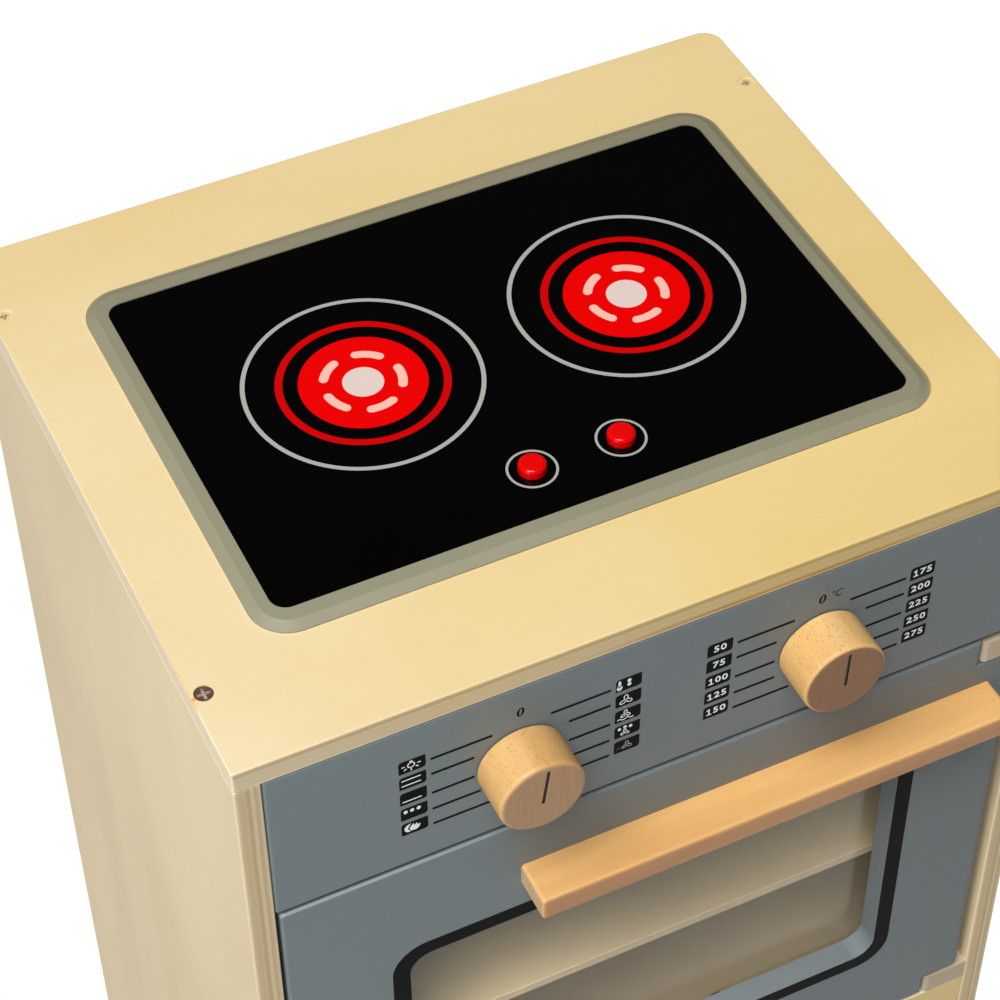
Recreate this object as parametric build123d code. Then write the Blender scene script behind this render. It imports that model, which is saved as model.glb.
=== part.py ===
from build123d import *
import math
import os

# Toy oven with a hob: a floor-standing plywood cabinet with a natural worktop and sides, a painted
# control panel with two beech knobs, a painted side-hinged door with a window and a bar handle, a
# moulded hob unit with two lit burners and two push buttons, and an open storage bay below the oven.
# Millimetres. +Z is up, the door faces -Y, and the origin is the bottom centre of the whole object.

# ---------------------------------------------------------------- driving dimensions: cabinet
width = 400.0
height = 640.0
worktop_depth = 339.0
board = 12.0                       # plywood thickness of worktop, sides, floors, rails, panel and door
back_overhang = 12.5               # worktop past the rear edges of the sides
worktop_rear_radius = 10.0
worktop_front_radius = 1.5
board_round = 0.8                  # softened arris of the natural boards
paint_round = 1.6                  # rounder arris of the painted boards
glide_height = 3.0
glide_diameter = 10.0
glide_inset = 30.0                 # glide centres from the front and rear edges of a side
glide_round = 1.0
glide_stem = 9.0
glide_stem_radius = 1.5
rail_height = 46.0                 # the natural rails below the door and at the floor
storage_height = 154.0             # open bay between the two rails
back_thickness = 4.0
back_inset = 6.0                   # back panel's rear face from the rear edges of the sides
groove_depth = 5.0
fit_gap = 0.05                     # fixed pins, screws and dowels in their holes, all round
past = 1.0                         # how far a cutting shape reaches past the surface it cuts
seat_gap = 0.3                     # pieces that rest close without touching
panel_gap = 0.3                    # control panel and shelf to the sides

# ---------------------------------------------------------------- driving dimensions: shelf
shelf_height = 126.0               # shelf's top above the base panel's top
shelf_thickness = 6.0
shelf_setback = 22.0               # shelf's front edge from the cabinet's front
shelf_back_gap = 2.0
batten = 12.0
batten_end_gap = 10.0
batten_screw_inset = 40.0

# ---------------------------------------------------------------- driving dimensions: control panel
panel_height = 89.8
knob_spacing = 145.2
knob_shift = -1.1                  # middle between the knobs from the cabinet's centre line
knob_drop = 46.9                   # knob centres below the panel's top edge
knob_radius = 20.2
knob_depth = 23.0
knob_rim_round = 2.4
knob_back_round = 0.6
knob_gap = 0.4                     # knob's back to the panel's face
left_knob_turn = 7.5               # degrees that each mark stands past the zero, clockwise
right_knob_turn = 2.0
mark_width = 1.5
mark_depth = 0.4
mark_outer = 16.6                  # mark's outer end from the knob's centre
mark_tail = 3.5                    # mark's inner end, past the knob's centre
spindle_radius = 3.0
spindle_grip = 12.0                # spindle's length inside the knob
spindle_tail = 3.0                 # spindle's length behind the nut
spindle_chamfer = 0.4
running_gap = 0.05                 # turning shafts in their bushes, all round
bush_wall = 1.6
bush_flange_radius = 7.5
bush_flange = 1.2
washer_radius = 7.0
washer_thickness = 1.0
nut_across_flats = 10.0
nut_height = 5.0

# ---------------------------------------------------------------- driving dimensions: door
door_gap_top = 2.6
door_gap_bottom = 2.0
door_gap_left = 1.9
door_gap_right = 3.8
door_corner_radius = 2.5
window_width = 253.8
window_height = 155.0
window_drop = 68.6                 # window's top below the door's top edge
window_shift = -0.5                # window's centre from the door's centre
window_radius = 11.0
pane_thickness = 3.0
pane_margin = 11.0                 # pane past the window on each side
pane_corner_radius = 6.0
pane_screw_inset = 5.5
pane_screw_count = 4               # screws along each long side of the pane
handle_length = 242.4
handle_depth = 22.3
handle_height = 13.8
handle_shift = 49.0                # bar's centre from the door's centre, towards the hinge
handle_drop = 37.8                 # bar's centre below the door's top edge
handle_round = 2.0
handle_screw_spacing = 160.0

# ---------------------------------------------------------------- driving dimensions: hinges
notch_width = 22.8                 # notch's wall from the door's hinge-side edge
block_height = 13.6
block_drop = 2.2                   # upper block's top below the door's top edge
block_gap = 1.6                    # block's free end to the notch's wall
block_end_round = 3.0
upper_hinge_gap = 1.2              # upper block to the notch's floor, taken up by the bush's flange
lower_hinge_gap = 3.2              # lower block to the notch's roof, the same
pin_radius = 2.0
pin_in_block = 7.5
pin_in_door = 14.0
pin_chamfer = 0.3
hinge_bush_wall = 1.4
hinge_flange_radius = 4.2
hinge_play = 0.2                   # bush's flange to the block
block_screw_length = 20.0
block_screw_inset = 3.5            # screws from each block's outer end, clear of the pin

# ---------------------------------------------------------------- driving dimensions: catch
catch_height = 230.0               # catch's centre above the base panel's top
catch_width = 20.0
catch_depth = 22.0
catch_tall = 32.0
catch_gap = 0.4                    # magnet to strike plate
catch_screw_length = 28.0
magnet_radius = 6.0
magnet_thickness = 4.0
strike_radius = 8.0
strike_thickness = 1.5

# ---------------------------------------------------------------- driving dimensions: hob
hob_width = 326.4
hob_depth = 229.5
hob_radius = 18.5
hob_shift = 1.0                    # hob's centre from the cabinet's centre line
hob_setback = 171.6                # hob's centre from the cabinet's front
bezel_height = 3.0
bezel_lip = 1.0                    # upright part of the bezel's outer edge
bezel_slope = 5.0                  # run of the bezel's outer slope
bezel_rim_side = 10.2              # bezel's outer edge to the plate, left and right
bezel_rim_front = 11.9             # the same at the front and the rear
bezel_ledge = 10.0                 # ledge under the plate's edge
bezel_ledge_depth = 3.0            # ledge's underside below the worktop's top
plate_thickness = 1.5
plate_radius = 8.0
plate_drop = 0.5                   # plate's top below the bezel's top
plate_gap = 0.15
cutout_margin = 13.2               # bezel's outer edge to the worktop's cut-out
cutout_radius = 10.0
cutout_gap = 0.5
boss_radius = 4.0
boss_inset = 6.0
tray_inset = 12.0                  # tub's walls from the cut-out's walls, clear of the bosses
tray_flange = 10.0                 # tray's flange past the cut-out
tray_flange_thickness = 2.5
tray_wall = 2.0
tray_drop = 16.0                   # tray's underside below the worktop's underside
tray_corner_radius = 6.0
burner_spacing = 132.0
burner_offset = 6.7                # burners behind the hob's centre
burner_shift = 0.5
burner_lens_radius = 31.0
diffuser_thickness = 1.0
well_wall = 1.5
board_thickness = 1.6
board_drop = 21.5                  # circuit board's top below the worktop's top
circuit_width = 212.0
circuit_depth = 148.0
board_post_radius = 3.0
board_post_inset = 6.0
led_radius = 2.5
led_height = 8.0
led_ring_radius = 19.8
led_ring_count = 5
led_dome = 0.9                     # dome's share of the lamp's radius
button_spacing = 43.2
button_front = 28.0                # button centres behind the plate's front edge
button_shift = 0.1
button_radius = 6.4
button_proud = 4.5
button_top_round = 2.0
button_flange_radius = 8.5
button_flange = 1.6
button_stem_radius = 2.6
button_travel = 1.5
button_gap = 0.25
switch_side = 12.0
switch_height = 6.0
plunger_radius = 1.8
plunger_length = 6.0
battery_radius = 7.0
battery_length = 50.5
battery_count = 3
battery_nub = 1.0
battery_nub_share = 0.38           # nub's radius as a share of the can's
battery_round = 0.6
battery_gap = 0.8
battery_bay_height = 16.0
battery_bay_wall = 2.0
contact_thickness = 0.5
contact_inset = 1.0
cover_thickness = 2.0
cover_pillar = 8.0                 # thick end wall of the bay that takes the cover's screw
cover_rim = 1.0

# ---------------------------------------------------------------- driving dimensions: fasteners
wood_screw_radius = 1.75
wood_screw_head_radius = 4.2
wood_screw_head = 2.6
worktop_screw_length = 40.0
worktop_screw_front = 44.0         # front pair from the worktop's front edge
worktop_screw_rear = 46.0          # rear pair from the worktop's rear edge
screw_recess = 0.5                 # screw heads below the surface
small_screw_radius = 1.25
small_screw_head_radius = 2.8
small_screw_head = 1.6
batten_screw_length = 20.0
pane_screw_length = 10.0
tray_screw_length = 14.0
board_screw_length = 5.0
strike_screw_length = 9.0
cover_screw_length = 6.0
handle_screw_radius = 2.0
handle_screw_head_radius = 4.0
handle_screw_head = 2.4
handle_screw_bite = 14.0           # screw's length inside the bar
cross_width = 0.9
cross_depth = 1.0
cross_reach = 1.2                  # recess length as a share of the head's radius, flat heads
pan_cross_reach = 1.1              # the same for round heads
screw_tip = 0.3                    # tip's radius as a share of the shank's
dowel_radius = 4.0
dowel_in_side = 8.0
dowel_in_board = 22.0
dowel_inset = 30.0

# ---------------------------------------------------------------- places worked out from them
front_reach = max(handle_depth, knob_gap + knob_depth)
front = front_reach - (worktop_depth + front_reach) / 2
worktop_back = front + worktop_depth
side_back = worktop_back - back_overhang
worktop_bottom = height - board
inner_half = width / 2 - board
side_middle = inner_half + board / 2
hob_x = hob_shift
hob_y = front + hob_setback
lower_rail_bottom = glide_height
storage_floor = lower_rail_bottom + rail_height
upper_rail_bottom = storage_floor + storage_height
base_top = upper_rail_bottom + rail_height
base_bottom = base_top - board
rail_back = front + board
back_rear = side_back - back_inset
back_front = back_rear - back_thickness
panel_top = worktop_bottom
panel_bottom = panel_top - panel_height
knob_z = panel_top - knob_drop
door_top = panel_bottom - door_gap_top
door_bottom = base_top + door_gap_bottom
door_left = -inner_half + door_gap_left
door_right = inner_half - door_gap_right
door_x = (door_left + door_right) / 2
door_back = front + board
pivot_x = door_right - board / 2
pivot_y = front + board / 2
notch_wall = door_right - notch_width
upper_block_top = door_top - block_drop
upper_block_bottom = upper_block_top - block_height
lower_block_bottom = base_top
lower_block_top = lower_block_bottom + block_height
notch_floor = upper_block_bottom - upper_hinge_gap
notch_roof = lower_block_top + lower_hinge_gap
window_x = door_x + window_shift
window_top = door_top - window_drop
window_z = window_top - window_height / 2
pane_back = door_back + pane_thickness
handle_x = door_x + handle_shift
handle_z = door_top - handle_drop
handle_front = front - handle_depth
shelf_top = base_top + shelf_height
shelf_bottom = shelf_top - shelf_thickness
shelf_front = front + shelf_setback
shelf_back = back_front - shelf_back_gap
catch_z = base_top + catch_height
catch_face = door_back + strike_thickness + catch_gap
strike_x = -inner_half + catch_width / 2
plate_top = height + bezel_height - plate_drop
plate_bottom = plate_top - plate_thickness
plate_width = hob_width - 2 * bezel_rim_side
plate_depth = hob_depth - 2 * bezel_rim_front
ledge_width = plate_width - 2 * bezel_ledge
ledge_depth = plate_depth - 2 * bezel_ledge
cutout_width = hob_width - 2 * cutout_margin
cutout_depth = hob_depth - 2 * cutout_margin
boss_x = cutout_width / 2 - boss_inset
boss_y = cutout_depth / 2 - boss_inset
tray_bottom = worktop_bottom - tray_drop
tray_width = cutout_width - 2 * tray_inset
tray_depth = cutout_depth - 2 * tray_inset
tray_floor = tray_bottom + tray_wall
circuit_top = height - board_drop
circuit_bottom = circuit_top - board_thickness
burner_y = hob_y + burner_offset
burner_places = [hob_x + burner_shift + side * burner_spacing / 2 for side in (-1, 1)]
button_y = hob_y - plate_depth / 2 + button_front
button_places = [hob_x + button_shift + side * button_spacing / 2 for side in (-1, 1)]
button_top = plate_top + button_proud
switch_top = circuit_top + switch_height
plunger_top = switch_top + plunger_length / 2
bay_width = battery_length + 2 * (contact_thickness + battery_gap)
bay_depth = battery_count * (2 * battery_radius + battery_gap) + battery_gap
bay_bottom = tray_bottom - battery_bay_height
bay_y = hob_y + tray_depth / 2 - bay_depth / 2 - battery_bay_wall - tray_wall
cover_screw_x = hob_x + (bay_width + cover_pillar) / 2
knob_front = front - knob_gap - knob_depth
knob_places = {"left": knob_shift - knob_spacing / 2, "right": knob_shift + knob_spacing / 2}
knob_turns = {"left": left_knob_turn, "right": right_knob_turn}
bush_radius = spindle_radius + running_gap + bush_wall
bush_back = front + board + bush_flange
hinge_bush_radius = pin_radius + running_gap + hinge_bush_wall


# ---------------------------------------------------------------- shared shapes
def block(x0, x1, y0, y1, z0, z1):
    """A box between two opposite corners."""
    centre = Pos((x0 + x1) / 2, (y0 + y1) / 2, (z0 + z1) / 2)
    return centre * Box(x1 - x0, y1 - y0, z1 - z0)


def soft_block(x0, x1, y0, y1, z0, z1, radius):
    """A box whose arrises are all softened by one radius."""
    raw = block(x0, x1, y0, y1, z0, z1)
    return fillet(raw.edges(), radius)


def slab(x, y, z0, z1, size_x, size_y, radius):
    """A plate with rounded upright corners, between two heights."""
    return Pos(x, y, z0) * extrude(RectangleRounded(size_x, size_y, radius), z1 - z0)


def rod(start, direction, length, radius):
    """A round bar from a start point along a direction."""
    return Plane(origin=start, z_dir=direction) * Pos(0, 0, length / 2) * Cylinder(radius, length)


def cone(start, direction, length, radius_start, radius_end):
    """A round taper from a start point along a direction."""
    frame = Plane(origin=start, z_dir=direction)
    return frame * Pos(0, 0, length / 2) * Cone(radius_start, radius_end, length)


def countersunk_screw(start, direction, length, shank, head_radius, head_length):
    """A flat-headed screw: start is the middle of the head's top, direction points to the tip."""
    taper = cone(start, direction, head_length, head_radius, shank)
    frame = Plane(origin=start, z_dir=direction)
    body = taper + rod(start, direction, length - shank, shank)
    tip = frame * Pos(0, 0, length - shank / 2) * Cone(shank, shank * screw_tip, shank)
    arm = head_radius * cross_reach
    cross = Box(arm, cross_width, 2 * cross_depth) + Box(cross_width, arm, 2 * cross_depth)
    return body + tip - frame * cross


def screw_hole(start, direction, length, shank, head_radius, head_length, recess=0.0):
    """The hole for such a screw, with its countersink, and the recess above the head."""
    frame = Plane(origin=start, z_dir=direction)
    mouth_length = recess + fit_gap
    sink = frame * Pos(0, 0, head_length / 2) * Cone(head_radius + fit_gap, shank + fit_gap, head_length)
    mouth = frame * Pos(0, 0, -mouth_length / 2) * Cylinder(head_radius + fit_gap, mouth_length)
    return sink + mouth + rod(start, direction, length + fit_gap, shank + fit_gap)


def pan_screw(start, direction, length, shank, head_radius, head_length):
    """A round-headed screw: start is the middle of the head's underside."""
    frame = Plane(origin=start, z_dir=direction)
    head = frame * Pos(0, 0, -head_length / 2) * Cylinder(head_radius, head_length)
    arm = head_radius * pan_cross_reach
    cross = Box(arm, cross_width, head_length) + Box(cross_width, arm, head_length)
    return head + rod(start, direction, length, shank) - frame * Pos(0, 0, -head_length) * cross


def join(shapes):
    """Like pieces kept apart as a group of separate solids."""
    return Compound(children=list(shapes))


def mirror_x(points):
    """The same places on both sides of the middle, for points given on one side."""
    return [(side * x, y, z) for side in (-1, 1) for x, y, z in points]


# ---------------------------------------------------------------- fastener places
def worktop_screw_places():
    rows = (front + worktop_screw_front, worktop_back - worktop_screw_rear)
    return mirror_x([(side_middle, y, height - screw_recess) for y in rows])


def dowel_places():
    rows = (rail_back + dowel_inset, side_back - dowel_inset)
    middle = front + board / 2
    floors = [(inner_half, y, top - board / 2) for top in (storage_floor, base_top) for y in rows]
    rise = (rail_height - board) / 2
    rails = [(inner_half, middle, bottom + rise) for bottom in (lower_rail_bottom, upper_rail_bottom)]
    panel = [(inner_half, middle, z) for z in (panel_top - dowel_inset / 2, panel_bottom + dowel_inset / 2)]
    return mirror_x(floors + rails + panel)


def batten_screw_places(side):
    rows = (shelf_front + batten_screw_inset, shelf_back - batten_screw_inset)
    return [(side * (inner_half - batten), y, shelf_bottom - batten / 2) for y in rows]


def glide_places():
    rows = (front + glide_inset, side_back - glide_inset)
    return mirror_x([(side_middle, y, 0.0) for y in rows])


def boss_places():
    return [(hob_x + a * boss_x, hob_y + b * boss_y) for a in (-1, 1) for b in (-1, 1)]


def board_post_places():
    reach_x = circuit_width / 2 - board_post_inset
    reach_y = circuit_depth / 2 - board_post_inset
    return [(hob_x + a * reach_x, hob_y + b * reach_y) for a in (-1, 1) for b in (-1, 1)]


def pane_screw_places():
    reach = window_width / 2 + pane_screw_inset
    step = 2 * reach / (pane_screw_count - 1)
    rows = (window_z - window_height / 2 - pane_screw_inset, window_z + window_height / 2 + pane_screw_inset)
    return [(window_x - reach + i * step, z) for z in rows for i in range(pane_screw_count)]


def handle_screw_places():
    return [handle_x + side * handle_screw_spacing / 2 for side in (-1, 1)]


def block_screw_places():
    rows = (upper_block_top - block_screw_inset, lower_block_bottom + block_screw_inset)
    return [(width / 2 - screw_recess, pivot_y, z) for z in rows]


def catch_screw_places():
    reach = catch_tall / 2 - dowel_radius * 2
    y = catch_face + catch_depth / 2
    return [(-inner_half + catch_width, y, catch_z + side * reach) for side in (-1, 1)]


def led_places():
    places = []
    for x in burner_places:
        places.append((x, burner_y))
        for i in range(led_ring_count):
            angle = 2 * math.pi * i / led_ring_count + math.pi / 2
            reach_x = led_ring_radius * math.cos(angle)
            reach_y = led_ring_radius * math.sin(angle)
            places.append((x + reach_x, burner_y + reach_y))
    return places


# ---------------------------------------------------------------- cabinet
def make_worktop():
    """The worktop: rounded rear corners, a cut-out for the hob and four countersunk holes."""
    raw = block(-width / 2, width / 2, front, worktop_back, worktop_bottom, height)
    upright = raw.edges().filter_by(Axis.Z).sort_by(Axis.Y)
    raw = fillet(upright[-2:], worktop_rear_radius)
    upright = raw.edges().filter_by(Axis.Z).sort_by(Axis.Y)
    raw = fillet(upright[:2], worktop_front_radius)
    top = raw.faces().sort_by(Axis.Z)[-1]
    raw = fillet(top.edges(), board_round)
    bottom = raw.faces().sort_by(Axis.Z)[0]
    raw = fillet(bottom.edges(), board_round / 2)
    raw -= slab(hob_x, hob_y, worktop_bottom - past, height + past, cutout_width, cutout_depth, cutout_radius)
    for place in worktop_screw_places():
        raw -= worktop_screw_hole(place)
    return raw


def worktop_screw_hole(place):
    return screw_hole(place, (0, 0, -1), worktop_screw_length, wood_screw_radius,
                      wood_screw_head_radius, wood_screw_head, screw_recess)


def make_worktop_screws():
    return join(countersunk_screw(place, (0, 0, -1), worktop_screw_length, wood_screw_radius,
                                  wood_screw_head_radius, wood_screw_head)
                for place in worktop_screw_places())


def make_side_panel(side):
    """One side: grooved for the back, drilled for dowels and screws. side is -1 left, 1 right."""
    x0, x1 = sorted((side * inner_half, side * width / 2))
    raw = soft_block(x0, x1, front, side_back, glide_height, worktop_bottom, board_round)
    g0, g1 = sorted((side * (inner_half - past), side * (inner_half + groove_depth + fit_gap)))
    raw -= block(g0, g1, back_front - fit_gap, back_rear + fit_gap, storage_floor - past,
                 worktop_bottom + past)
    for x, y, z in dowel_places():
        if x * side > 0:
            raw -= rod((x, y, z), (side, 0, 0), dowel_in_side + fit_gap, dowel_radius + fit_gap)
    for place in worktop_screw_places():
        if place[0] * side > 0:
            raw -= worktop_screw_hole(place)
    for x, y, z in batten_screw_places(side):
        bite = batten_screw_length - batten + fit_gap
        raw -= rod((side * inner_half, y, z), (side, 0, 0), bite, small_screw_radius + fit_gap)
    for x, y, z in glide_places():
        if x * side > 0:
            raw -= rod((x, y, glide_height), (0, 0, 1), glide_stem + fit_gap, glide_stem_radius + fit_gap)
    if side > 0:
        for place in block_screw_places():
            raw -= block_screw_hole(place)
    else:
        for x, y, z in catch_screw_places():
            bite = catch_screw_length - catch_width + fit_gap
            raw -= rod((-inner_half, y, z), (-1, 0, 0), bite, small_screw_radius + fit_gap)
    return raw


def make_foot_glides():
    """Four nail-on glides under the sides."""
    glides = []
    for place in glide_places():
        pad = rod(place, (0, 0, 1), glide_height, glide_diameter / 2)
        pad = fillet(pad.edges().sort_by(Axis.Z)[0], glide_round)
        glides.append(pad + rod(place, (0, 0, 1), glide_height + glide_stem, glide_stem_radius))
    return join(glides)


def board_dowel_holes(raw, rows):
    """Dowel holes in both ends of a board, at (y, z) rows."""
    for side in (-1, 1):
        for y, z in rows:
            raw -= rod((side * (inner_half + past), y, z), (-side, 0, 0), dowel_in_board + past + fit_gap,
                       dowel_radius + fit_gap)
    return raw


def make_floor(top, back):
    """A floor between the sides, from behind its rail to a depth: the oven's or the storage bay's."""
    raw = soft_block(-inner_half, inner_half, rail_back, back, top - board, top, board_round)
    rows = {(y, z) for x, y, z in dowel_places() if y > rail_back and top - board < z < top}
    return board_dowel_holes(raw, sorted(rows))


def make_front_rails():
    """The upright rails below the door and at the floor."""
    rails = []
    for bottom in (lower_rail_bottom, upper_rail_bottom):
        top = bottom + rail_height
        raw = soft_block(-inner_half, inner_half, front, rail_back, bottom, top, board_round)
        rows = {(y, z) for x, y, z in dowel_places() if y < rail_back and bottom < z < top}
        rails.append(board_dowel_holes(raw, sorted(rows)))
    return join(rails)


def make_frame_dowels():
    """Wooden dowels between the sides and the boards that they carry."""
    dowels = []
    for x, y, z in dowel_places():
        side = math.copysign(1, x)
        start = (x + side * dowel_in_side, y, z)
        dowels.append(rod(start, (-side, 0, 0), dowel_in_side + dowel_in_board, dowel_radius))
    return join(dowels)


def make_back_panel():
    reach = inner_half + groove_depth
    return block(-reach, reach, back_front, back_rear, storage_floor, worktop_bottom)


def make_oven_shelf():
    reach = inner_half - panel_gap
    return soft_block(-reach, reach, shelf_front, shelf_back, shelf_bottom, shelf_top, board_round)


def make_shelf_batten(side):
    x0, x1 = sorted((side * (inner_half - batten), side * inner_half))
    y0 = shelf_front + batten_end_gap
    y1 = shelf_back - batten_end_gap
    raw = soft_block(x0, x1, y0, y1, shelf_bottom - batten, shelf_bottom, board_round)
    for place in batten_screw_places(side):
        raw -= screw_hole(place, (side, 0, 0), batten_screw_length, small_screw_radius,
                          small_screw_head_radius, small_screw_head)
    return raw


def make_batten_screws():
    return join(countersunk_screw(place, (side, 0, 0), batten_screw_length, small_screw_radius,
                                  small_screw_head_radius, small_screw_head)
                for side in (-1, 1) for place in batten_screw_places(side))


# ---------------------------------------------------------------- control panel and knobs
def make_control_panel():
    """The painted panel, bored for the two knob bushes."""
    reach = inner_half - panel_gap
    raw = soft_block(-reach, reach, front, front + board, panel_bottom, panel_top, paint_round)
    rows = {(y, z) for x, y, z in dowel_places() if z > door_top}
    raw = board_dowel_holes(raw, sorted(rows))
    for x in knob_places.values():
        raw -= rod((x, front - past, knob_z), (0, 1, 0), board + 2 * past, bush_radius + fit_gap)
    return raw


def make_knob(x, turn):
    """A turned knob, its grain along its axis, with a mark cut across the face."""
    length = knob_depth
    raw = rod((x, knob_front, knob_z), (0, 1, 0), length, knob_radius)
    rims = raw.edges().filter_by(GeomType.CIRCLE).sort_by(Axis.Y)
    raw = fillet(rims[0], knob_rim_round)
    rims = raw.edges().filter_by(GeomType.CIRCLE).sort_by(Axis.Y)
    raw = fillet(rims[-1], knob_back_round)
    start = (x, front - knob_gap, knob_z)
    raw -= rod(start, (0, -1, 0), spindle_grip + fit_gap, spindle_radius + fit_gap)
    length = mark_outer + mark_tail
    groove = Box(mark_width, 2 * mark_depth, length)
    groove = Pos(0, 0, (mark_outer - mark_tail) / 2) * groove
    return raw - Pos(x, knob_front, knob_z) * Rot(0, turn, 0) * groove


def make_knob_spindle(x):
    """The steel spindle that turns with the knob."""
    start = front - knob_gap - spindle_grip
    end = bush_back + seat_gap + washer_thickness + nut_height + spindle_tail
    raw = rod((x, start, knob_z), (0, 1, 0), end - start, spindle_radius)
    return chamfer(raw.edges().filter_by(GeomType.CIRCLE), spindle_chamfer)


def make_knob_bush(x):
    """The plastic bush in the control panel, flanged at the back."""
    raw = rod((x, front, knob_z), (0, 1, 0), board + bush_flange, bush_radius)
    raw += rod((x, front + board, knob_z), (0, 1, 0), bush_flange, bush_flange_radius)
    bore = rod((x, front - past, knob_z), (0, 1, 0), board + bush_flange + 2 * past,
               spindle_radius + running_gap)
    return raw - bore


def make_knob_washer(x):
    start = (x, bush_back + seat_gap, knob_z)
    raw = rod(start, (0, 1, 0), washer_thickness, washer_radius)
    return raw - rod(start, (0, 1, 0), washer_thickness, spindle_radius + fit_gap)


def make_knob_nut(x):
    start = (x, bush_back + seat_gap + washer_thickness, knob_z)
    frame = Plane(origin=start, z_dir=(0, 1, 0))
    raw = frame * extrude(RegularPolygon(nut_across_flats / 2, 6, major_radius=False), nut_height)
    return raw - rod(start, (0, 1, 0), nut_height, spindle_radius + fit_gap)


# ---------------------------------------------------------------- door
def make_door_panel():
    """The painted door: round hinge edge, notched for the hinge blocks, window and screw holes."""
    raw = block(door_left, pivot_x, front, door_back, door_bottom, door_top)
    raw += rod((pivot_x, pivot_y, door_bottom), (0, 0, 1), door_top - door_bottom, board / 2)
    along_y = raw.edges().filter_by(Axis.Y)
    free_corners = along_y.filter_by_position(Axis.X, door_left - past, door_left + past)
    raw = fillet(free_corners, door_corner_radius)
    raw -= block(notch_wall, door_right + past, front - past, door_back + past, notch_floor, door_top + past)
    raw -= block(notch_wall, door_right + past, front - past, door_back + past, door_bottom - past,
                 notch_roof)
    raw = soften_outline(raw)
    raw -= window_prism(front - past, door_back + past)
    sleeve_hole = pin_in_door + past + 2 * fit_gap
    raw -= rod((pivot_x, pivot_y, notch_floor + past), (0, 0, -1), sleeve_hole, hinge_bush_radius + fit_gap)
    raw -= rod((pivot_x, pivot_y, notch_roof - past), (0, 0, 1), sleeve_hole, hinge_bush_radius + fit_gap)
    for x, z in pane_screw_places():
        bite = pane_screw_length - pane_thickness + fit_gap
        raw -= rod((x, door_back, z), (0, -1, 0), bite, small_screw_radius + fit_gap)
    for x in handle_screw_places():
        raw -= handle_screw_hole(x)
    raw -= rod((strike_x, door_back, catch_z), (0, -1, 0), strike_screw_length - strike_thickness + fit_gap,
               small_screw_radius + fit_gap)
    return raw


def soften_outline(raw):
    """Softens the straight front and back arrises of the door."""
    edges = []
    for face in (raw.faces().sort_by(Axis.Y)[0], raw.faces().sort_by(Axis.Y)[-1]):
        for edge in face.edges():
            middle = edge @ 0.5
            if middle.X < notch_wall + board / 2 and edge.length > door_corner_radius:
                edges.append(edge)
    return fillet(edges, paint_round)


def window_prism(y0, y1):
    outline = Plane(origin=(window_x, y0, window_z), x_dir=(1, 0, 0), z_dir=(0, 1, 0))
    sketch = outline * RectangleRounded(window_width, window_height, window_radius)
    return extrude(sketch, y1 - y0)


def make_window_pane():
    """The clear sheet screwed to the back of the door."""
    outline = Plane(origin=(window_x, door_back, window_z), x_dir=(1, 0, 0), z_dir=(0, 1, 0))
    sketch = outline * RectangleRounded(window_width + 2 * pane_margin, window_height + 2 * pane_margin,
                                        pane_corner_radius)
    raw = extrude(sketch, pane_thickness)
    for x, z in pane_screw_places():
        raw -= rod((x, door_back - past, z), (0, 1, 0), pane_thickness + 2 * past,
                   small_screw_radius + fit_gap)
    return raw


def make_pane_screws():
    return join(pan_screw((x, pane_back, z), (0, -1, 0), pane_screw_length, small_screw_radius,
                          small_screw_head_radius, small_screw_head)
                for x, z in pane_screw_places())


def make_handle_bar():
    """The beech bar, flat against the door and rounded on every other arris."""
    x0 = handle_x - handle_length / 2
    x1 = handle_x + handle_length / 2
    z0 = handle_z - handle_height / 2
    raw = block(x0, x1, handle_front, front, z0, z0 + handle_height)
    against_door = raw.faces().sort_by(Axis.Y)[-1].edges()
    raw = fillet([edge for edge in raw.edges() if edge not in against_door], handle_round)
    for x in handle_screw_places():
        raw -= rod((x, front, handle_z), (0, -1, 0), handle_screw_bite + fit_gap,
                   handle_screw_radius + fit_gap)
    return raw


def handle_screw_length():
    return board + handle_screw_bite - screw_recess


def handle_screw_hole(x):
    return screw_hole((x, door_back - screw_recess, handle_z), (0, -1, 0), handle_screw_length(),
                      handle_screw_radius, handle_screw_head_radius, handle_screw_head, screw_recess)


def make_handle_screws():
    return join(countersunk_screw((x, door_back - screw_recess, handle_z), (0, -1, 0), handle_screw_length(),
                                  handle_screw_radius, handle_screw_head_radius, handle_screw_head)
                for x in handle_screw_places())


# ---------------------------------------------------------------- hinges
def make_hinge_block(bottom, top, pin_start, pin_direction):
    """A wooden block in the door's notch, fixed to the right-hand side and bored for its pin."""
    raw = block(notch_wall + block_gap, inner_half, front, front + board, bottom, top)
    ends = raw.edges().filter_by(Axis.Z).sort_by(Axis.X)[:2]
    raw = fillet(ends, block_end_round)
    raw -= rod(pin_start, pin_direction, pin_in_block + fit_gap, pin_radius + fit_gap)
    for place in block_screw_places():
        raw -= block_screw_hole(place)
    return raw


def block_screw_hole(place):
    return screw_hole(place, (-1, 0, 0), block_screw_length, small_screw_radius,
                      small_screw_head_radius, small_screw_head, screw_recess)


def make_hinge_block_screws():
    return join(countersunk_screw(place, (-1, 0, 0), block_screw_length, small_screw_radius,
                                  small_screw_head_radius, small_screw_head)
                for place in block_screw_places())


def make_hinge_pin(block_face, direction, gap):
    """A steel pin from inside a block, past the gap, into the door."""
    start = (pivot_x, pivot_y, block_face - direction * pin_in_block)
    length = pin_in_block + gap + pin_in_door - seat_gap
    raw = rod(start, (0, 0, direction), length, pin_radius)
    return chamfer(raw.edges().filter_by(GeomType.CIRCLE), pin_chamfer)


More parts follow.
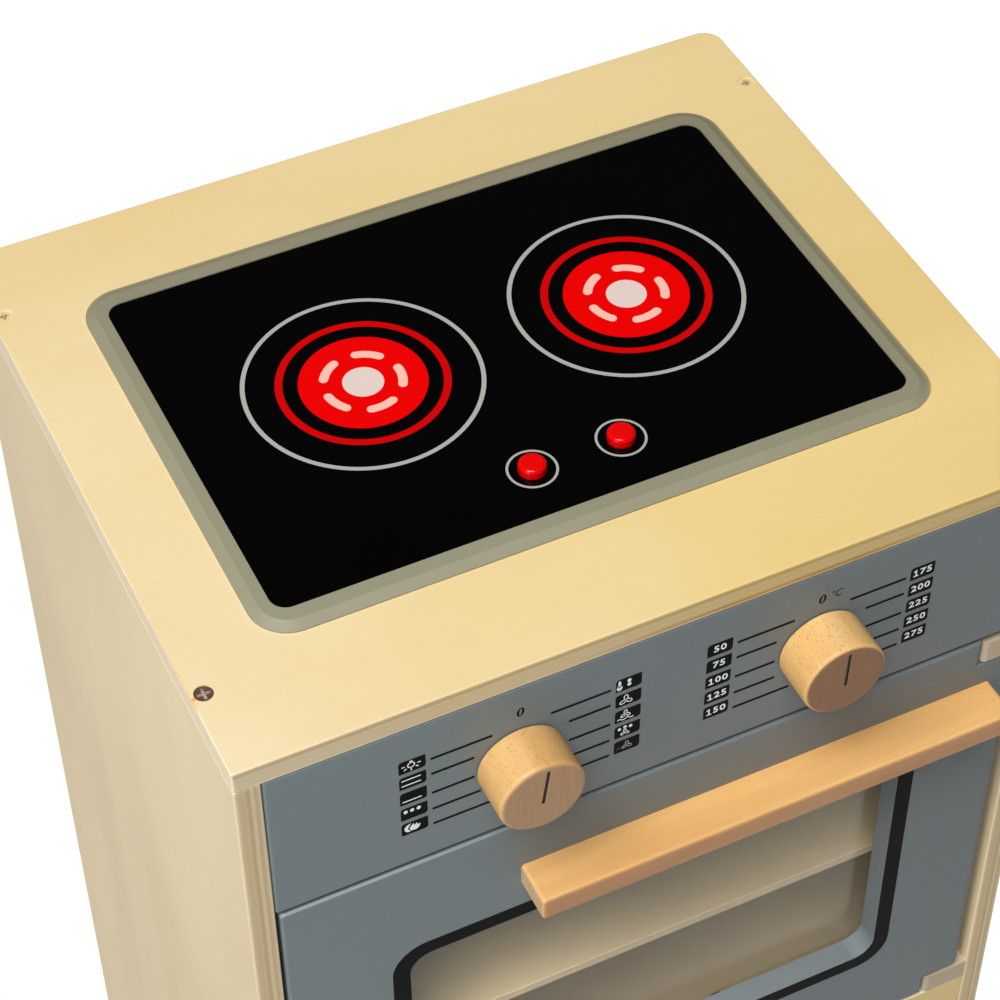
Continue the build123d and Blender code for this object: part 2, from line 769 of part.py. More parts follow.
def make_hinge_bush(door_face, direction, gap):
    """A flanged bush in the door; its flange runs against the block."""
    flange_height = gap - hinge_play
    sleeve = rod((pivot_x, pivot_y, door_face), (0, 0, -direction), pin_in_door, hinge_bush_radius)
    flange = rod((pivot_x, pivot_y, door_face), (0, 0, direction), flange_height, hinge_flange_radius)
    bore = rod((pivot_x, pivot_y, door_face + direction * (flange_height + past)), (0, 0, -direction),
               pin_in_door + flange_height + 2 * past, pin_radius + running_gap)
    return sleeve + flange - bore


# ---------------------------------------------------------------- catch
def make_catch_block():
    """The wooden block of the magnetic catch, behind the door's free edge."""
    raw = soft_block(-inner_half, -inner_half + catch_width, catch_face, catch_face + catch_depth,
                     catch_z - catch_tall / 2, catch_z + catch_tall / 2, board_round)
    raw -= rod((strike_x, catch_face, catch_z), (0, 1, 0), magnet_thickness + fit_gap,
               magnet_radius + fit_gap)
    for place in catch_screw_places():
        raw -= screw_hole(place, (-1, 0, 0), catch_screw_length, small_screw_radius,
                          small_screw_head_radius, small_screw_head)
    return raw


def make_catch_magnet():
    return rod((strike_x, catch_face, catch_z), (0, 1, 0), magnet_thickness, magnet_radius)


def make_catch_screws():
    return join(countersunk_screw(place, (-1, 0, 0), catch_screw_length, small_screw_radius,
                                  small_screw_head_radius, small_screw_head)
                for place in catch_screw_places())


def make_strike_plate():
    raw = rod((strike_x, door_back, catch_z), (0, 1, 0), strike_thickness, strike_radius)
    return raw - strike_screw_hole()


def strike_screw_hole():
    return screw_hole((strike_x, door_back + strike_thickness, catch_z), (0, -1, 0), strike_screw_length,
                      small_screw_radius, small_screw_head_radius, strike_thickness)


def make_strike_screw():
    return countersunk_screw((strike_x, door_back + strike_thickness, catch_z), (0, -1, 0),
                             strike_screw_length, small_screw_radius, small_screw_head_radius,
                             strike_thickness)


# ---------------------------------------------------------------- hob
def make_hob_bezel():
    """The moulded surround: sloped rim, recess for the plate, ledge and four corner bosses."""
    lip = slab(hob_x, hob_y, height, height + bezel_lip, hob_width, hob_depth, hob_radius)
    low = Pos(hob_x, hob_y, height + bezel_lip) * RectangleRounded(hob_width, hob_depth, hob_radius)
    high = Pos(hob_x, hob_y, height + bezel_height) * RectangleRounded(
        hob_width - 2 * bezel_slope, hob_depth - 2 * bezel_slope, hob_radius - bezel_slope)
    raw = lip + loft([low, high], ruled=True)
    ledge_bottom = height - bezel_ledge_depth
    raw += slab(hob_x, hob_y, ledge_bottom, height, cutout_width - 2 * cutout_gap,
                cutout_depth - 2 * cutout_gap, cutout_radius - cutout_gap)
    raw -= slab(hob_x, hob_y, plate_bottom, height + bezel_height + past, plate_width, plate_depth,
                plate_radius)
    raw -= slab(hob_x, hob_y, ledge_bottom - past, height + bezel_height + past, ledge_width, ledge_depth,
                plate_radius)
    for x, y in boss_places():
        raw += rod((x, y, ledge_bottom), (0, 0, -1), ledge_bottom - worktop_bottom, boss_radius)
        raw -= rod((x, y, worktop_bottom), (0, 0, 1), tray_screw_bite() + fit_gap,
                   small_screw_radius + fit_gap)
    return raw


def tray_screw_bite():
    return tray_screw_length - tray_flange_thickness


def make_hob_plate():
    """The gloss black plate with holes for the push buttons."""
    raw = slab(hob_x, hob_y, plate_bottom, plate_top, plate_width - 2 * plate_gap,
               plate_depth - 2 * plate_gap, plate_radius - plate_gap)
    for x in button_places:
        raw -= rod((x, button_y, plate_bottom), (0, 0, 1), plate_thickness, button_radius + button_gap)
    return raw


def make_hob_tray():
    """The tub under the worktop: flange, walls, board posts and the battery bay below its floor."""
    raw = slab(hob_x, hob_y, worktop_bottom - tray_flange_thickness, worktop_bottom,
               cutout_width + 2 * tray_flange, cutout_depth + 2 * tray_flange, tray_corner_radius)
    raw += slab(hob_x, hob_y, tray_bottom, worktop_bottom, tray_width, tray_depth, tray_corner_radius)
    raw -= slab(hob_x, hob_y, tray_floor, worktop_bottom + past, tray_width - 2 * tray_wall,
                tray_depth - 2 * tray_wall, tray_corner_radius - tray_wall)
    half_x = bay_width / 2
    half_y = bay_depth / 2
    wall = battery_bay_wall
    raw += block(hob_x - half_x - wall - cover_rim, hob_x + half_x + cover_pillar + cover_rim,
                 bay_y - half_y - wall, bay_y + half_y + wall, bay_bottom - cover_thickness, tray_bottom)
    raw -= block(hob_x - half_x, hob_x + half_x, bay_y - half_y, bay_y + half_y,
                 bay_bottom - cover_thickness - past, tray_bottom)
    raw -= block(hob_x - half_x - wall, hob_x + half_x + cover_pillar, bay_y - half_y, bay_y + half_y,
                 bay_bottom - cover_thickness - past, bay_bottom)
    raw -= rod((cover_screw_x, bay_y, bay_bottom), (0, 0, 1), cover_screw_length,
               small_screw_radius + fit_gap)
    for x, y in board_post_places():
        raw += rod((x, y, tray_floor), (0, 0, 1), circuit_bottom - tray_floor, board_post_radius)
        raw -= rod((x, y, circuit_bottom), (0, 0, -1), board_screw_length, small_screw_radius + fit_gap)
    for x, y in boss_places():
        raw -= rod((x, y, worktop_bottom), (0, 0, -1), tray_flange_thickness + past,
                   small_screw_radius + fit_gap)
    return raw


def make_tray_screws():
    start = worktop_bottom - tray_flange_thickness
    return join(pan_screw((x, y, start), (0, 0, 1), tray_screw_length, small_screw_radius,
                          small_screw_head_radius, small_screw_head)
                for x, y in boss_places())


def make_circuit_board():
    raw = slab(hob_x, hob_y, circuit_bottom, circuit_top, circuit_width, circuit_depth, board_post_radius)
    for x, y in board_post_places():
        raw -= rod((x, y, circuit_bottom - past), (0, 0, 1), board_thickness + 2 * past,
                   small_screw_radius + fit_gap)
    return raw


def make_board_screws():
    return join(pan_screw((x, y, circuit_top), (0, 0, -1), board_screw_length, small_screw_radius,
                          small_screw_head_radius, small_screw_head)
                for x, y in board_post_places())


def make_burner_leds():
    """Domed lamps: one under each burner's middle and a ring of five round it."""
    lamps = []
    for x, y in led_places():
        raw = rod((x, y, circuit_top), (0, 0, 1), led_height, led_radius)
        lamps.append(fillet(raw.edges().sort_by(Axis.Z)[-1], led_radius * led_dome))
    return join(lamps)


def make_light_wells():
    """Tubes that keep each burner's light under its own disc."""
    wells = []
    top = plate_bottom - diffuser_thickness
    for x in burner_places:
        raw = rod((x, burner_y, circuit_top), (0, 0, 1), top - circuit_top, burner_lens_radius + well_wall)
        wells.append(raw - rod((x, burner_y, circuit_top), (0, 0, 1), top - circuit_top, burner_lens_radius))
    return join(wells)


def make_light_diffusers():
    """Milky discs on the wells, against the plate's underside."""
    start = plate_bottom - diffuser_thickness
    return join(rod((x, burner_y, start), (0, 0, 1), diffuser_thickness, burner_lens_radius + well_wall)
                for x in burner_places)


def make_button_switches():
    """Switch bodies on the board, bored for their plungers."""
    switches = []
    for x in button_places:
        raw = block(x - switch_side / 2, x + switch_side / 2, button_y - switch_side / 2,
                    button_y + switch_side / 2, circuit_top, switch_top)
        bore = plunger_length / 2 + button_travel + seat_gap
        raw -= rod((x, button_y, switch_top + past), (0, 0, -1), bore + past, plunger_radius + running_gap)
        switches.append(raw)
    return join(switches)


def make_button_plunger(x):
    """The plunger that stands half out of its switch."""
    return rod((x, button_y, plunger_top), (0, 0, -1), plunger_length, plunger_radius)


def make_button(x):
    """A push button: rounded cap through the plate, flange below it and a stem to the plunger."""
    flange_top = plate_bottom - button_gap
    cap = rod((x, button_y, flange_top), (0, 0, 1), button_top - flange_top, button_radius)
    cap = fillet(cap.edges().sort_by(Axis.Z)[-1], button_top_round)
    raw = cap + rod((x, button_y, flange_top), (0, 0, -1), button_flange, button_flange_radius)
    return raw + rod((x, button_y, flange_top), (0, 0, -1), flange_top - plunger_top, button_stem_radius)


def make_batteries():
    """Round cells side by side in the bay."""
    cells = []
    z = bay_bottom + battery_bay_height / 2
    pitch = 2 * battery_radius + battery_gap
    for i in range(battery_count):
        y = bay_y + (i - (battery_count - 1) / 2) * pitch
        can = rod((hob_x - battery_length / 2, y, z), (1, 0, 0), battery_length - battery_nub, battery_radius)
        can = fillet(can.edges().filter_by(GeomType.CIRCLE), battery_round)
        nub_radius = battery_radius * battery_nub_share
        cells.append(can + rod((hob_x, y, z), (1, 0, 0), battery_length / 2, nub_radius))
    return join(cells)


def make_battery_contacts():
    """Sprung strips at both ends of the bay, drawn pressed flat."""
    strips = []
    z0 = bay_bottom + contact_inset
    z1 = tray_bottom - contact_inset
    reach = bay_depth / 2 - battery_gap
    for side in (-1, 1):
        outer = hob_x + side * bay_width / 2
        x0, x1 = sorted((outer, outer - side * contact_thickness))
        strips.append(block(x0, x1, bay_y - reach, bay_y + reach, z0, z1))
    return join(strips)


def make_battery_cover():
    """The cover let into the bay's rim, held by its screw."""
    x0 = hob_x - bay_width / 2 - battery_bay_wall + seat_gap
    x1 = hob_x + bay_width / 2 + cover_pillar - seat_gap
    half_y = bay_depth / 2 - seat_gap
    raw = block(x0, x1, bay_y - half_y, bay_y + half_y, bay_bottom - cover_thickness, bay_bottom)
    return raw - cover_screw_hole()


def cover_screw_start():
    return (cover_screw_x, bay_y, bay_bottom - cover_thickness)


def cover_screw_hole():
    return screw_hole(cover_screw_start(), (0, 0, 1), cover_screw_length, small_screw_radius,
                      small_screw_head_radius, small_screw_head)


def make_battery_cover_screw():
    return countersunk_screw(cover_screw_start(), (0, 0, 1), cover_screw_length, small_screw_radius,
                             small_screw_head_radius, small_screw_head)


# ---------------------------------------------------------------- the pieces by name
def make_parts():
    parts = {
        "worktop": make_worktop(),
        "worktop_screws": make_worktop_screws(),
        "side_panel_left": make_side_panel(-1),
        "side_panel_right": make_side_panel(1),
        "foot_glides": make_foot_glides(),
        "base_panel": make_floor(base_top, back_front),
        "storage_panel": make_floor(storage_floor, side_back),
        "front_rails": make_front_rails(),
        "frame_dowels": make_frame_dowels(),
        "back_panel": make_back_panel(),
        "oven_shelf": make_oven_shelf(),
        "shelf_batten_left": make_shelf_batten(-1),
        "shelf_batten_right": make_shelf_batten(1),
        "batten_screws": make_batten_screws(),
        "control_panel": make_control_panel(),
        "door_panel": make_door_panel(),
        "window_pane": make_window_pane(),
        "pane_screws": make_pane_screws(),
        "handle_bar": make_handle_bar(),
        "handle_screws": make_handle_screws(),
        "hinge_block_upper": make_hinge_block(upper_block_bottom, upper_block_top,
                                              (pivot_x, pivot_y, upper_block_bottom), (0, 0, 1)),
        "hinge_block_lower": make_hinge_block(lower_block_bottom, lower_block_top,
                                              (pivot_x, pivot_y, lower_block_top), (0, 0, -1)),
        "hinge_block_screws": make_hinge_block_screws(),
        "hinge_pin_upper": make_hinge_pin(upper_block_bottom, -1, upper_hinge_gap),
        "hinge_pin_lower": make_hinge_pin(lower_block_top, 1, lower_hinge_gap),
        "hinge_bush_upper": make_hinge_bush(notch_floor, 1, upper_hinge_gap),
        "hinge_bush_lower": make_hinge_bush(notch_roof, -1, lower_hinge_gap),
        "catch_block": make_catch_block(),
        "catch_magnet": make_catch_magnet(),
        "catch_screws": make_catch_screws(),
        "strike_plate": make_strike_plate(),
        "strike_screw": make_strike_screw(),
        "hob_bezel": make_hob_bezel(),
        "hob_plate": make_hob_plate(),
        "hob_tray": make_hob_tray(),
        "tray_screws": make_tray_screws(),
        "circuit_board": make_circuit_board(),
        "board_screws": make_board_screws(),
        "burner_leds": make_burner_leds(),
        "light_wells": make_light_wells(),
        "light_diffusers": make_light_diffusers(),
        "button_switches": make_button_switches(),
        "batteries": make_batteries(),
        "battery_contacts": make_battery_contacts(),
        "battery_cover": make_battery_cover(),
        "battery_cover_screw": make_battery_cover_screw(),
    }
    for side, x in knob_places.items():
        parts[f"knob_{side}"] = make_knob(x, knob_turns[side])
        parts[f"knob_{side}_spindle"] = make_knob_spindle(x)
        parts[f"knob_{side}_bush"] = make_knob_bush(x)
        parts[f"knob_{side}_washer"] = make_knob_washer(x)
        parts[f"knob_{side}_nut"] = make_knob_nut(x)
    for side, x in zip(("left", "right"), button_places):
        parts[f"button_{side}"] = make_button(x)
        parts[f"button_{side}_plunger"] = make_button_plunger(x)
    return parts


os.makedirs("parts", exist_ok=True)
for name, shape in make_parts().items():
    export_step(shape, f"parts/{name}.step")
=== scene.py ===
# %% [markdown]
# # A toy oven, dressed
# The construction of this wooden toy oven is finished: boards, door, knobs, hob and every screw are
# solids with real sizes. This notebook gives each of them its finish and adds what is thinner than a
# solid needs to be: printed rings, labels and leader lines.
# We load the solids first. They are in metres, with the floor at zero and the door towards -Y.

# %% Load the finished construction
import math

import bpy
from mathutils import Matrix, Vector
from mathutils.geometry import tessellate_polygon


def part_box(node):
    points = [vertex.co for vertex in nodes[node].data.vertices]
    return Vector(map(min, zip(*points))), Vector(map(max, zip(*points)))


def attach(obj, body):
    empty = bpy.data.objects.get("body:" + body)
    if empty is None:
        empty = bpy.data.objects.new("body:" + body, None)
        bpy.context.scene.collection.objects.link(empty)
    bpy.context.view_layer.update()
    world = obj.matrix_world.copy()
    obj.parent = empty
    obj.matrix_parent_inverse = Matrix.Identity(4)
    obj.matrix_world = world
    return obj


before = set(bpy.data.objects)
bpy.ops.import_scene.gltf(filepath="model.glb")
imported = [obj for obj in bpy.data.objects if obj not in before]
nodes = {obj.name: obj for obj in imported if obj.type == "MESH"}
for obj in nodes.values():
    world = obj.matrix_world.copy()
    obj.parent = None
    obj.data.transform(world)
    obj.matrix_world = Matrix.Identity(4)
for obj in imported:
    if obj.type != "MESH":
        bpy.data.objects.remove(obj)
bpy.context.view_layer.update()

# %% [markdown]
# Prints and finishes line up with edges of the real boards, so we read those edges from the solids
# instead of typing them again. One millimetre is written as MM, because a print is easier to think
# about in millimetres than in metres.

# %% Edges and faces that later steps line up with
MM = 0.001


def edges_of(node):
    """Lowest and highest corner of one solid."""
    low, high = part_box(node)
    return low, high


worktop_low, worktop_high = edges_of("worktop")
panel_low, panel_high = edges_of("control_panel")
plate_high = edges_of("hob_plate")[1]
front_face = panel_low.y
plate_top = plate_high.z
print("front face at", round(front_face / MM, 2), "mm, hob plate's top at", round(plate_top / MM, 2), "mm")

# %% [markdown]
# ## Camera
# The photograph looks down on the front left corner through a long lens, from about one and a half
# metres away. A camera is a position plus two directions, the one it looks along and the one that is
# its right, and the third follows from them. A long lens keeps the upright lines nearly parallel.

# %% Camera at the photograph's viewing angle
camera_place = Vector((-0.39629, -0.82787, 1.52529))
camera_ahead = Vector((0.292265, 0.622176, -0.726277)).normalized()
camera_right = Vector((0.901632, -0.432438, -0.007623)).normalized()
camera_up = camera_right.cross(camera_ahead).normalized()
camera_data = bpy.data.cameras.new("studio_camera")
camera_data.sensor_width = 36.0
camera_data.lens = 102.236
camera_data.clip_start = 0.05
camera_data.clip_end = 50.0
camera = bpy.data.objects.new("studio_camera", camera_data)
turn = Matrix((camera_right, camera_up, -camera_ahead)).transposed()
camera.matrix_world = Matrix.Translation(camera_place) @ turn.to_4x4()
bpy.context.scene.collection.objects.link(camera)
bpy.context.scene.camera = camera
print("camera", [round(v, 3) for v in camera_place], "lens", camera_data.lens)

# %% [markdown]
# ## A short way to write finishes
# Every finish here is a small tree of shader nodes. Typing each node and link in full hides the idea,
# so a helper class keeps the tree and offers one line for each step: a coordinate, a noise, a ramp,
# a mix. It only saves typing. Numbers that are the same all over a surface go straight onto the
# shader's own sockets, where an exporter can find them.

# %% The helper that builds shader trees
def srgb(red, green, blue):
    """A colour picked on a screen, 0 to 255, as the linear numbers that a shader wants."""
    def straight(v):
        v = v / 255
        return v / 12.92 if v <= 0.04045 else ((v + 0.055) / 1.055) ** 2.4
    return (straight(red), straight(green), straight(blue), 1.0)


class Finish:
    """A material under construction."""

    def __init__(self, name, **values):
        self.material = bpy.data.materials.new(name)
        self.material.use_nodes = True
        self.tree = self.material.node_tree
        self.tree.nodes.clear()
        self.output = self.tree.nodes.new("ShaderNodeOutputMaterial")
        self.shader = self.tree.nodes.new("ShaderNodeBsdfPrincipled")
        for socket, value in values.items():
            self.shader.inputs[socket.replace("_", " ")].default_value = value
        self.join(self.shader.outputs[0], self.output.inputs["Surface"])
        where = self.tree.nodes.new("ShaderNodeTexCoord")
        self.point, self.normal = where.outputs["Object"], where.outputs["Normal"]

    def join(self, source, target):
        self.tree.links.new(source, target)

    def feed(self, node, index, value):
        """Sets one input from a socket, a number or a colour picked on a screen."""
        if isinstance(value, bpy.types.NodeSocket):
            self.join(value, node.inputs[index])
        elif isinstance(value, tuple):
            node.inputs[index].default_value = srgb(*value)
        elif value is not None:
            node.inputs[index].default_value = value

    def math(self, operation, a, b=None, c=None, clamp=False):
        node = self.tree.nodes.new("ShaderNodeMath")
        node.operation = operation
        node.use_clamp = clamp
        for i, value in enumerate((a, b, c)):
            self.feed(node, i, value)
        return node.outputs[0]

    def times(self, first, *others):
        for other in others:
            first = self.math("MULTIPLY", first, other)
        return first

    def plus(self, a, b):
        return self.math("ADD", a, b)

    def minus(self, a, b):
        return self.math("SUBTRACT", a, b)

    def axes(self, source=None):
        """X, Y and Z of a point on the object, in metres."""
        node = self.tree.nodes.new("ShaderNodeSeparateXYZ")
        self.join(source or self.point, node.inputs[0])
        return node.outputs[0], node.outputs[1], node.outputs[2]

    def facing(self):
        """How much the surface faces along X, Y and Z."""
        return [self.math("ABSOLUTE", a) for a in self.axes(self.normal)]

    def place(self, scale=(1, 1, 1), shift=(0, 0, 0)):
        """The point on the object, stretched and shifted, so that a pattern can lie along the grain."""
        node = self.tree.nodes.new("ShaderNodeMapping")
        self.join(self.point, node.inputs["Vector"])
        node.inputs["Scale"].default_value = scale
        node.inputs["Location"].default_value = shift
        return node.outputs[0]

    def noise(self, vector, scale, detail=2.0, rough=0.5, bend=0.0):
        node = self.tree.nodes.new("ShaderNodeTexNoise")
        self.join(vector, node.inputs["Vector"])
        node.inputs["Scale"].default_value = scale
        node.inputs["Detail"].default_value = detail
        node.inputs["Roughness"].default_value = rough
        node.inputs["Distortion"].default_value = bend
        return node.outputs["Fac"]

    def cells(self, vector, scale, feature="F1", random=1.0):
        node = self.tree.nodes.new("ShaderNodeTexVoronoi")
        node.feature = feature
        self.join(vector, node.inputs["Vector"])
        node.inputs["Scale"].default_value = scale
        node.inputs["Randomness"].default_value = random
        return node

    def ramp(self, factor, stops):
        """Colours picked on a screen, each at its share of the way, as (share, colour) pairs."""
        node = self.tree.nodes.new("ShaderNodeValToRGB")
        band = node.color_ramp.elements
        while len(band) < len(stops):
            band.new(0.5)
        for element, (spot, colour) in zip(band, stops):
            element.position = spot
            element.color = srgb(*colour)
        self.feed(node, 0, factor)
        return node.outputs[0]

    def span(self, value, low, high, to_low=0.0, to_high=1.0, smooth=False):
        """A value's way from low to high, as the way from to_low to to_high, held at both ends."""
        node = self.tree.nodes.new("ShaderNodeMapRange")
        node.interpolation_type = "SMOOTHSTEP" if smooth else "LINEAR"
        for i, v in enumerate((value, low, high, to_low, to_high)):
            self.feed(node, i, v)
        return node.outputs[0]

    def mix(self, factor, a, b, blend="MIX"):
        node = self.tree.nodes.new("ShaderNodeMix")
        node.data_type = "RGBA"
        node.blend_type = blend
        self.feed(node, 0, factor)
        self.feed(node, 6, a)
        self.feed(node, 7, b)
        return node.outputs[2]

    def colour(self, source):
        self.join(source, self.shader.inputs["Base Color"])

    def tint(self, factor, colour, blend="MIX"):
        """Mixes one more colour over the base colour made so far."""
        so_far = self.shader.inputs["Base Color"].links[0].from_socket
        self.colour(self.mix(factor, so_far, colour, blend))

    def roughness(self, source):
        self.join(source, self.shader.inputs["Roughness"])

    def bump(self, height, strength=0.2, distance=0.0004):
        node = self.tree.nodes.new("ShaderNodeBump")
        node.inputs["Strength"].default_value = strength
        node.inputs["Distance"].default_value = distance
        self.feed(node, "Height", height)
        self.join(node.outputs[0], self.shader.inputs["Normal"])


def dress(made, *names):
    """Puts a finish on solids in place of what they came with."""
    for name in names:
        nodes[name].data.materials.clear()
        nodes[name].data.materials.append(made.material)


def put(name, data):
    """A new object in the scene, with its mesh, lamp or camera."""
    made = bpy.data.objects.new(name, data)
    bpy.context.scene.collection.objects.link(made)
    return made


print("finish helper ready")

# %% [markdown]
# ## Birch plywood
# The box is plain birch plywood under clear oil. A face shows peeled veneer: pale, faintly cloudy,
# with soft curved figure and hardly any line. A sawn edge shows the stack of veneers, every second
# one end grain and so darker. Two separate materials would leave a hard seam at each rounded arris.
# One material that blends between face and edge by the direction that the surface faces gives the
# sanded look, so the function below takes the board's thin axis and builds both.

# %% The plywood finish
AXES = {"X": 0, "Y": 1, "Z": 2}


def plywood(name, thin, low, high, grain, faces, layers, seed=0.0, shine=0.48, streak=0.5):
    """A board's finish: thin is its thin axis, low and high the limits along it in metres."""
    made = Finish(name, Roughness=shine, IOR=1.46, Coat_Weight=0.10, Coat_Roughness=0.32)
    along = [1.0, 1.0, 1.0]
    along[AXES[grain]] = 0.34
    flow = made.place(scale=tuple(along), shift=(seed, seed * 0.7, seed * 1.3))
    cloud = made.noise(flow, 9.0, 3.0, 0.5, 0.9)
    figure = made.noise(flow, 26.0, 2.0, 0.45, 2.4)
    along[AXES[grain]] = 0.045
    fibre_place = made.place(scale=tuple(along), shift=(seed * 2, seed, seed))
    fibre = made.noise(fibre_place, 620.0, 3.0, 0.62, 0.2)
    light, middle, deep = faces
    tone = made.ramp(cloud, [(0.30, light), (0.52, middle), (0.74, deep)])
    rings = made.math("PINGPONG", made.times(figure, 9.0), 1.0)
    soft_rings = made.span(rings, 0.0, 0.30, 0.10, 0.0, smooth=True)
    tone = made.mix(made.times(soft_rings, streak), tone, deep, "MULTIPLY")
    lines = made.span(fibre, 0.30, 0.72, 0.055, 0.0)
    tone = made.mix(lines, tone, deep, "MULTIPLY")
    fleck_cells = made.cells(made.place(scale=(1, 1, 1), shift=(seed, 0, seed)), 46.0)
    size = made.times(fleck_cells.outputs["Distance"], 46.0)
    rare = made.span(made.noise(flow, 31.0, 1.0, 0.5), 0.56, 0.60)
    fleck = made.times(made.span(size, 0.035, 0.055, 0.26, 0.0), rare)
    tone = made.mix(fleck, tone, (160, 122, 72))
    depth = made.span(made.axes()[AXES[thin]], low, high)
    wander = made.noise(made.place(shift=(seed, seed, 0)), 30.0, 2.0, 0.5)
    depth = made.plus(depth, made.span(wander, 0.2, 0.8, -0.022, 0.022))
    edge = made.ramp(depth, layers)
    grit = made.noise(made.point, 900.0, 4.0, 0.7)
    edge = made.mix(made.span(grit, 0.35, 0.7, 0.16, 0.0), edge, (140, 108, 70), "MULTIPLY")
    is_face = made.span(made.facing()[AXES[thin]], 0.55, 0.86, smooth=True)
    made.colour(made.mix(is_face, edge, tone))
    made.roughness(made.span(fibre, 0.2, 0.8, shine - 0.06, shine + 0.10))
    made.bump(made.mix(is_face, grit, fibre), 0.16, 0.00012)
    return made


EDGE_LAYERS = [(0.00, (240, 226, 194)), (0.09, (238, 222, 188)), (0.14, (228, 209, 171)),
               (0.40, (230, 212, 176)), (0.55, (227, 208, 170)), (0.66, (231, 213, 179)),
               (0.75, (222, 202, 166)), (0.79, (209, 187, 148)), (0.86, (206, 183, 143)),
               (0.91, (232, 210, 166)), (1.00, (244, 224, 180))]
print("edge layers:", len(EDGE_LAYERS))

# %% [markdown]
# ### The worktop
# The worktop is the warmest and brightest board. It is painted a little paler at the left, almost cream, and
# darker and more golden towards the front right: painted shade where the light falls off. Round the front
# left screw the face veneer has torn out to the board's side, which left a small orange chip, and a thin line
# of darker glue shows where that side's arris was sanded through.

# %% Worktop finish
worktop_finish = plywood("worktop_oiled_birch", "Z", worktop_low.z, worktop_high.z, "X",
                         [(244, 225, 184), (241, 221, 177), (238, 215, 166)], EDGE_LAYERS, seed=3.1,
                         streak=0.32)


def painted_falloff_to_the_right(made):
    """Painted shade: the colour grows darker and more golden to the right, where the light falls off: soon
    along the front, slowly along the back.
    """
    x, y, _ = made.axes()
    wander = made.span(made.noise(made.place(), 8.0, 2.0, 0.5), 0.2, 0.8, -0.05, 0.05)
    x = made.plus(x, wander)
    at_front = made.span(x, -0.20, 0.06)
    at_back = made.span(x, -0.20, 0.20, 0.30, 0.72)
    backward = made.span(y, -0.150, 0.170)
    step = made.times(made.minus(at_back, at_front), backward)
    # Painted shade: darker and more golden to the right, where the light falls off.
    falloff_shade = made.math("ADD", at_front, step, clamp=True)
    made.tint(falloff_shade, (251, 240, 198), "MULTIPLY")


def pale_left_edge(made):
    """The left edge is one pale veneer, without the stripes of the front."""
    normal_x = made.axes(made.normal)[0]
    leftward = made.span(normal_x, -0.85, -0.45, 1.0, 0.0, smooth=True)
    cloud = made.noise(made.place(scale=(1, 0.3, 1)), 40.0, 2.0, 0.5)
    pale = made.ramp(cloud, [(0.3, (247, 232, 199)), (0.7, (243, 227, 192))])
    made.tint(leftward, pale)


CHIP_BEHIND_FRONT = 42.6 * MM
LEFT_ARRIS = -199.6 * MM
GLUE_ABOVE_UNDERSIDE = 2.1 * MM


def chip_by_the_screw(made):
    """The torn spot between the front left screw and the board's side, and the sanded glue line."""
    x, y, z = made.axes()
    ragged = made.noise(made.point, 700.0, 3.0, 0.6)
    ragged = made.span(ragged, 0.2, 0.8, -0.0007, 0.0007)
    from_chip = made.minus(y, front_face + CHIP_BEHIND_FRONT)
    from_line = made.math("ABSOLUTE", made.plus(from_chip, ragged))
    near_line = made.span(from_line, 0.0006, 0.0013, 1.0, 0.0)
    near_side = made.span(x, -0.1985, -0.1968, 1.0, 0.0)
    chip = made.times(near_line, near_side)
    from_arris = made.minus(x, LEFT_ARRIS)
    from_side = made.math("ABSOLUTE", made.plus(from_arris, made.times(ragged, 0.4)))
    glue = made.span(from_side, 0.00015, 0.00045, 0.8, 0.0)
    reach = made.span(y, front_face + 0.036, front_face + 0.120, 1.0, 0.25)
    behind = made.span(y, front_face + 0.034, front_face + 0.040)
    glue = made.times(glue, reach, behind)
    on_top = made.span(z, worktop_high.z - 0.0008, worktop_high.z - 0.0003)
    spot = made.times(made.math("MAXIMUM", chip, glue), on_top)
    made.tint(spot, (232, 176, 96))


def dark_glue_along_the_front(made):
    """An orange core veneer that comes and goes along the front edge, stronger to the right."""
    x, y, z = made.axes()
    wave = made.noise(made.place(scale=(1, 1, 1)), 14.0, 3.0, 0.55)
    height = made.plus(z, made.span(wave, 0.2, 0.8, -0.0006, 0.0006))
    band = made.math("ABSOLUTE", made.minus(height, worktop_low.z + GLUE_ABOVE_UNDERSIDE))
    band = made.span(band, 0.0005, 0.0014, 1.0, 0.0)
    patchy = made.span(wave, 0.38, 0.62, 0.45, 1.0)
    there = made.span(x, -0.06, 0.01, 0.0, 0.95, smooth=True)
    rightward = made.times(there, made.span(x, 0.09, 0.13, 1.0, 0.35, smooth=True))
    at_front = made.span(y, front_face + 0.0004, front_face + 0.0014, 1.0, 0.0)
    spot = made.times(band, patchy, rightward, at_front)
    made.tint(spot, (190, 136, 66))


painted_falloff_to_the_right(worktop_finish)
pale_left_edge(worktop_finish)
chip_by_the_screw(worktop_finish)
dark_glue_along_the_front(worktop_finish)
print("worktop nodes in the tree:", len(worktop_finish.tree.nodes))

# %% [markdown]
# ### Sides, rail and inner boards
# The sides are cooler and greyer than the worktop, cut from the same kind of sheet with the grain
# upright. The front edge of a side shows its own stack: brown, tan and light stripes that run from
# top to bottom. Each side gets its own copy, because its layers are measured across X.

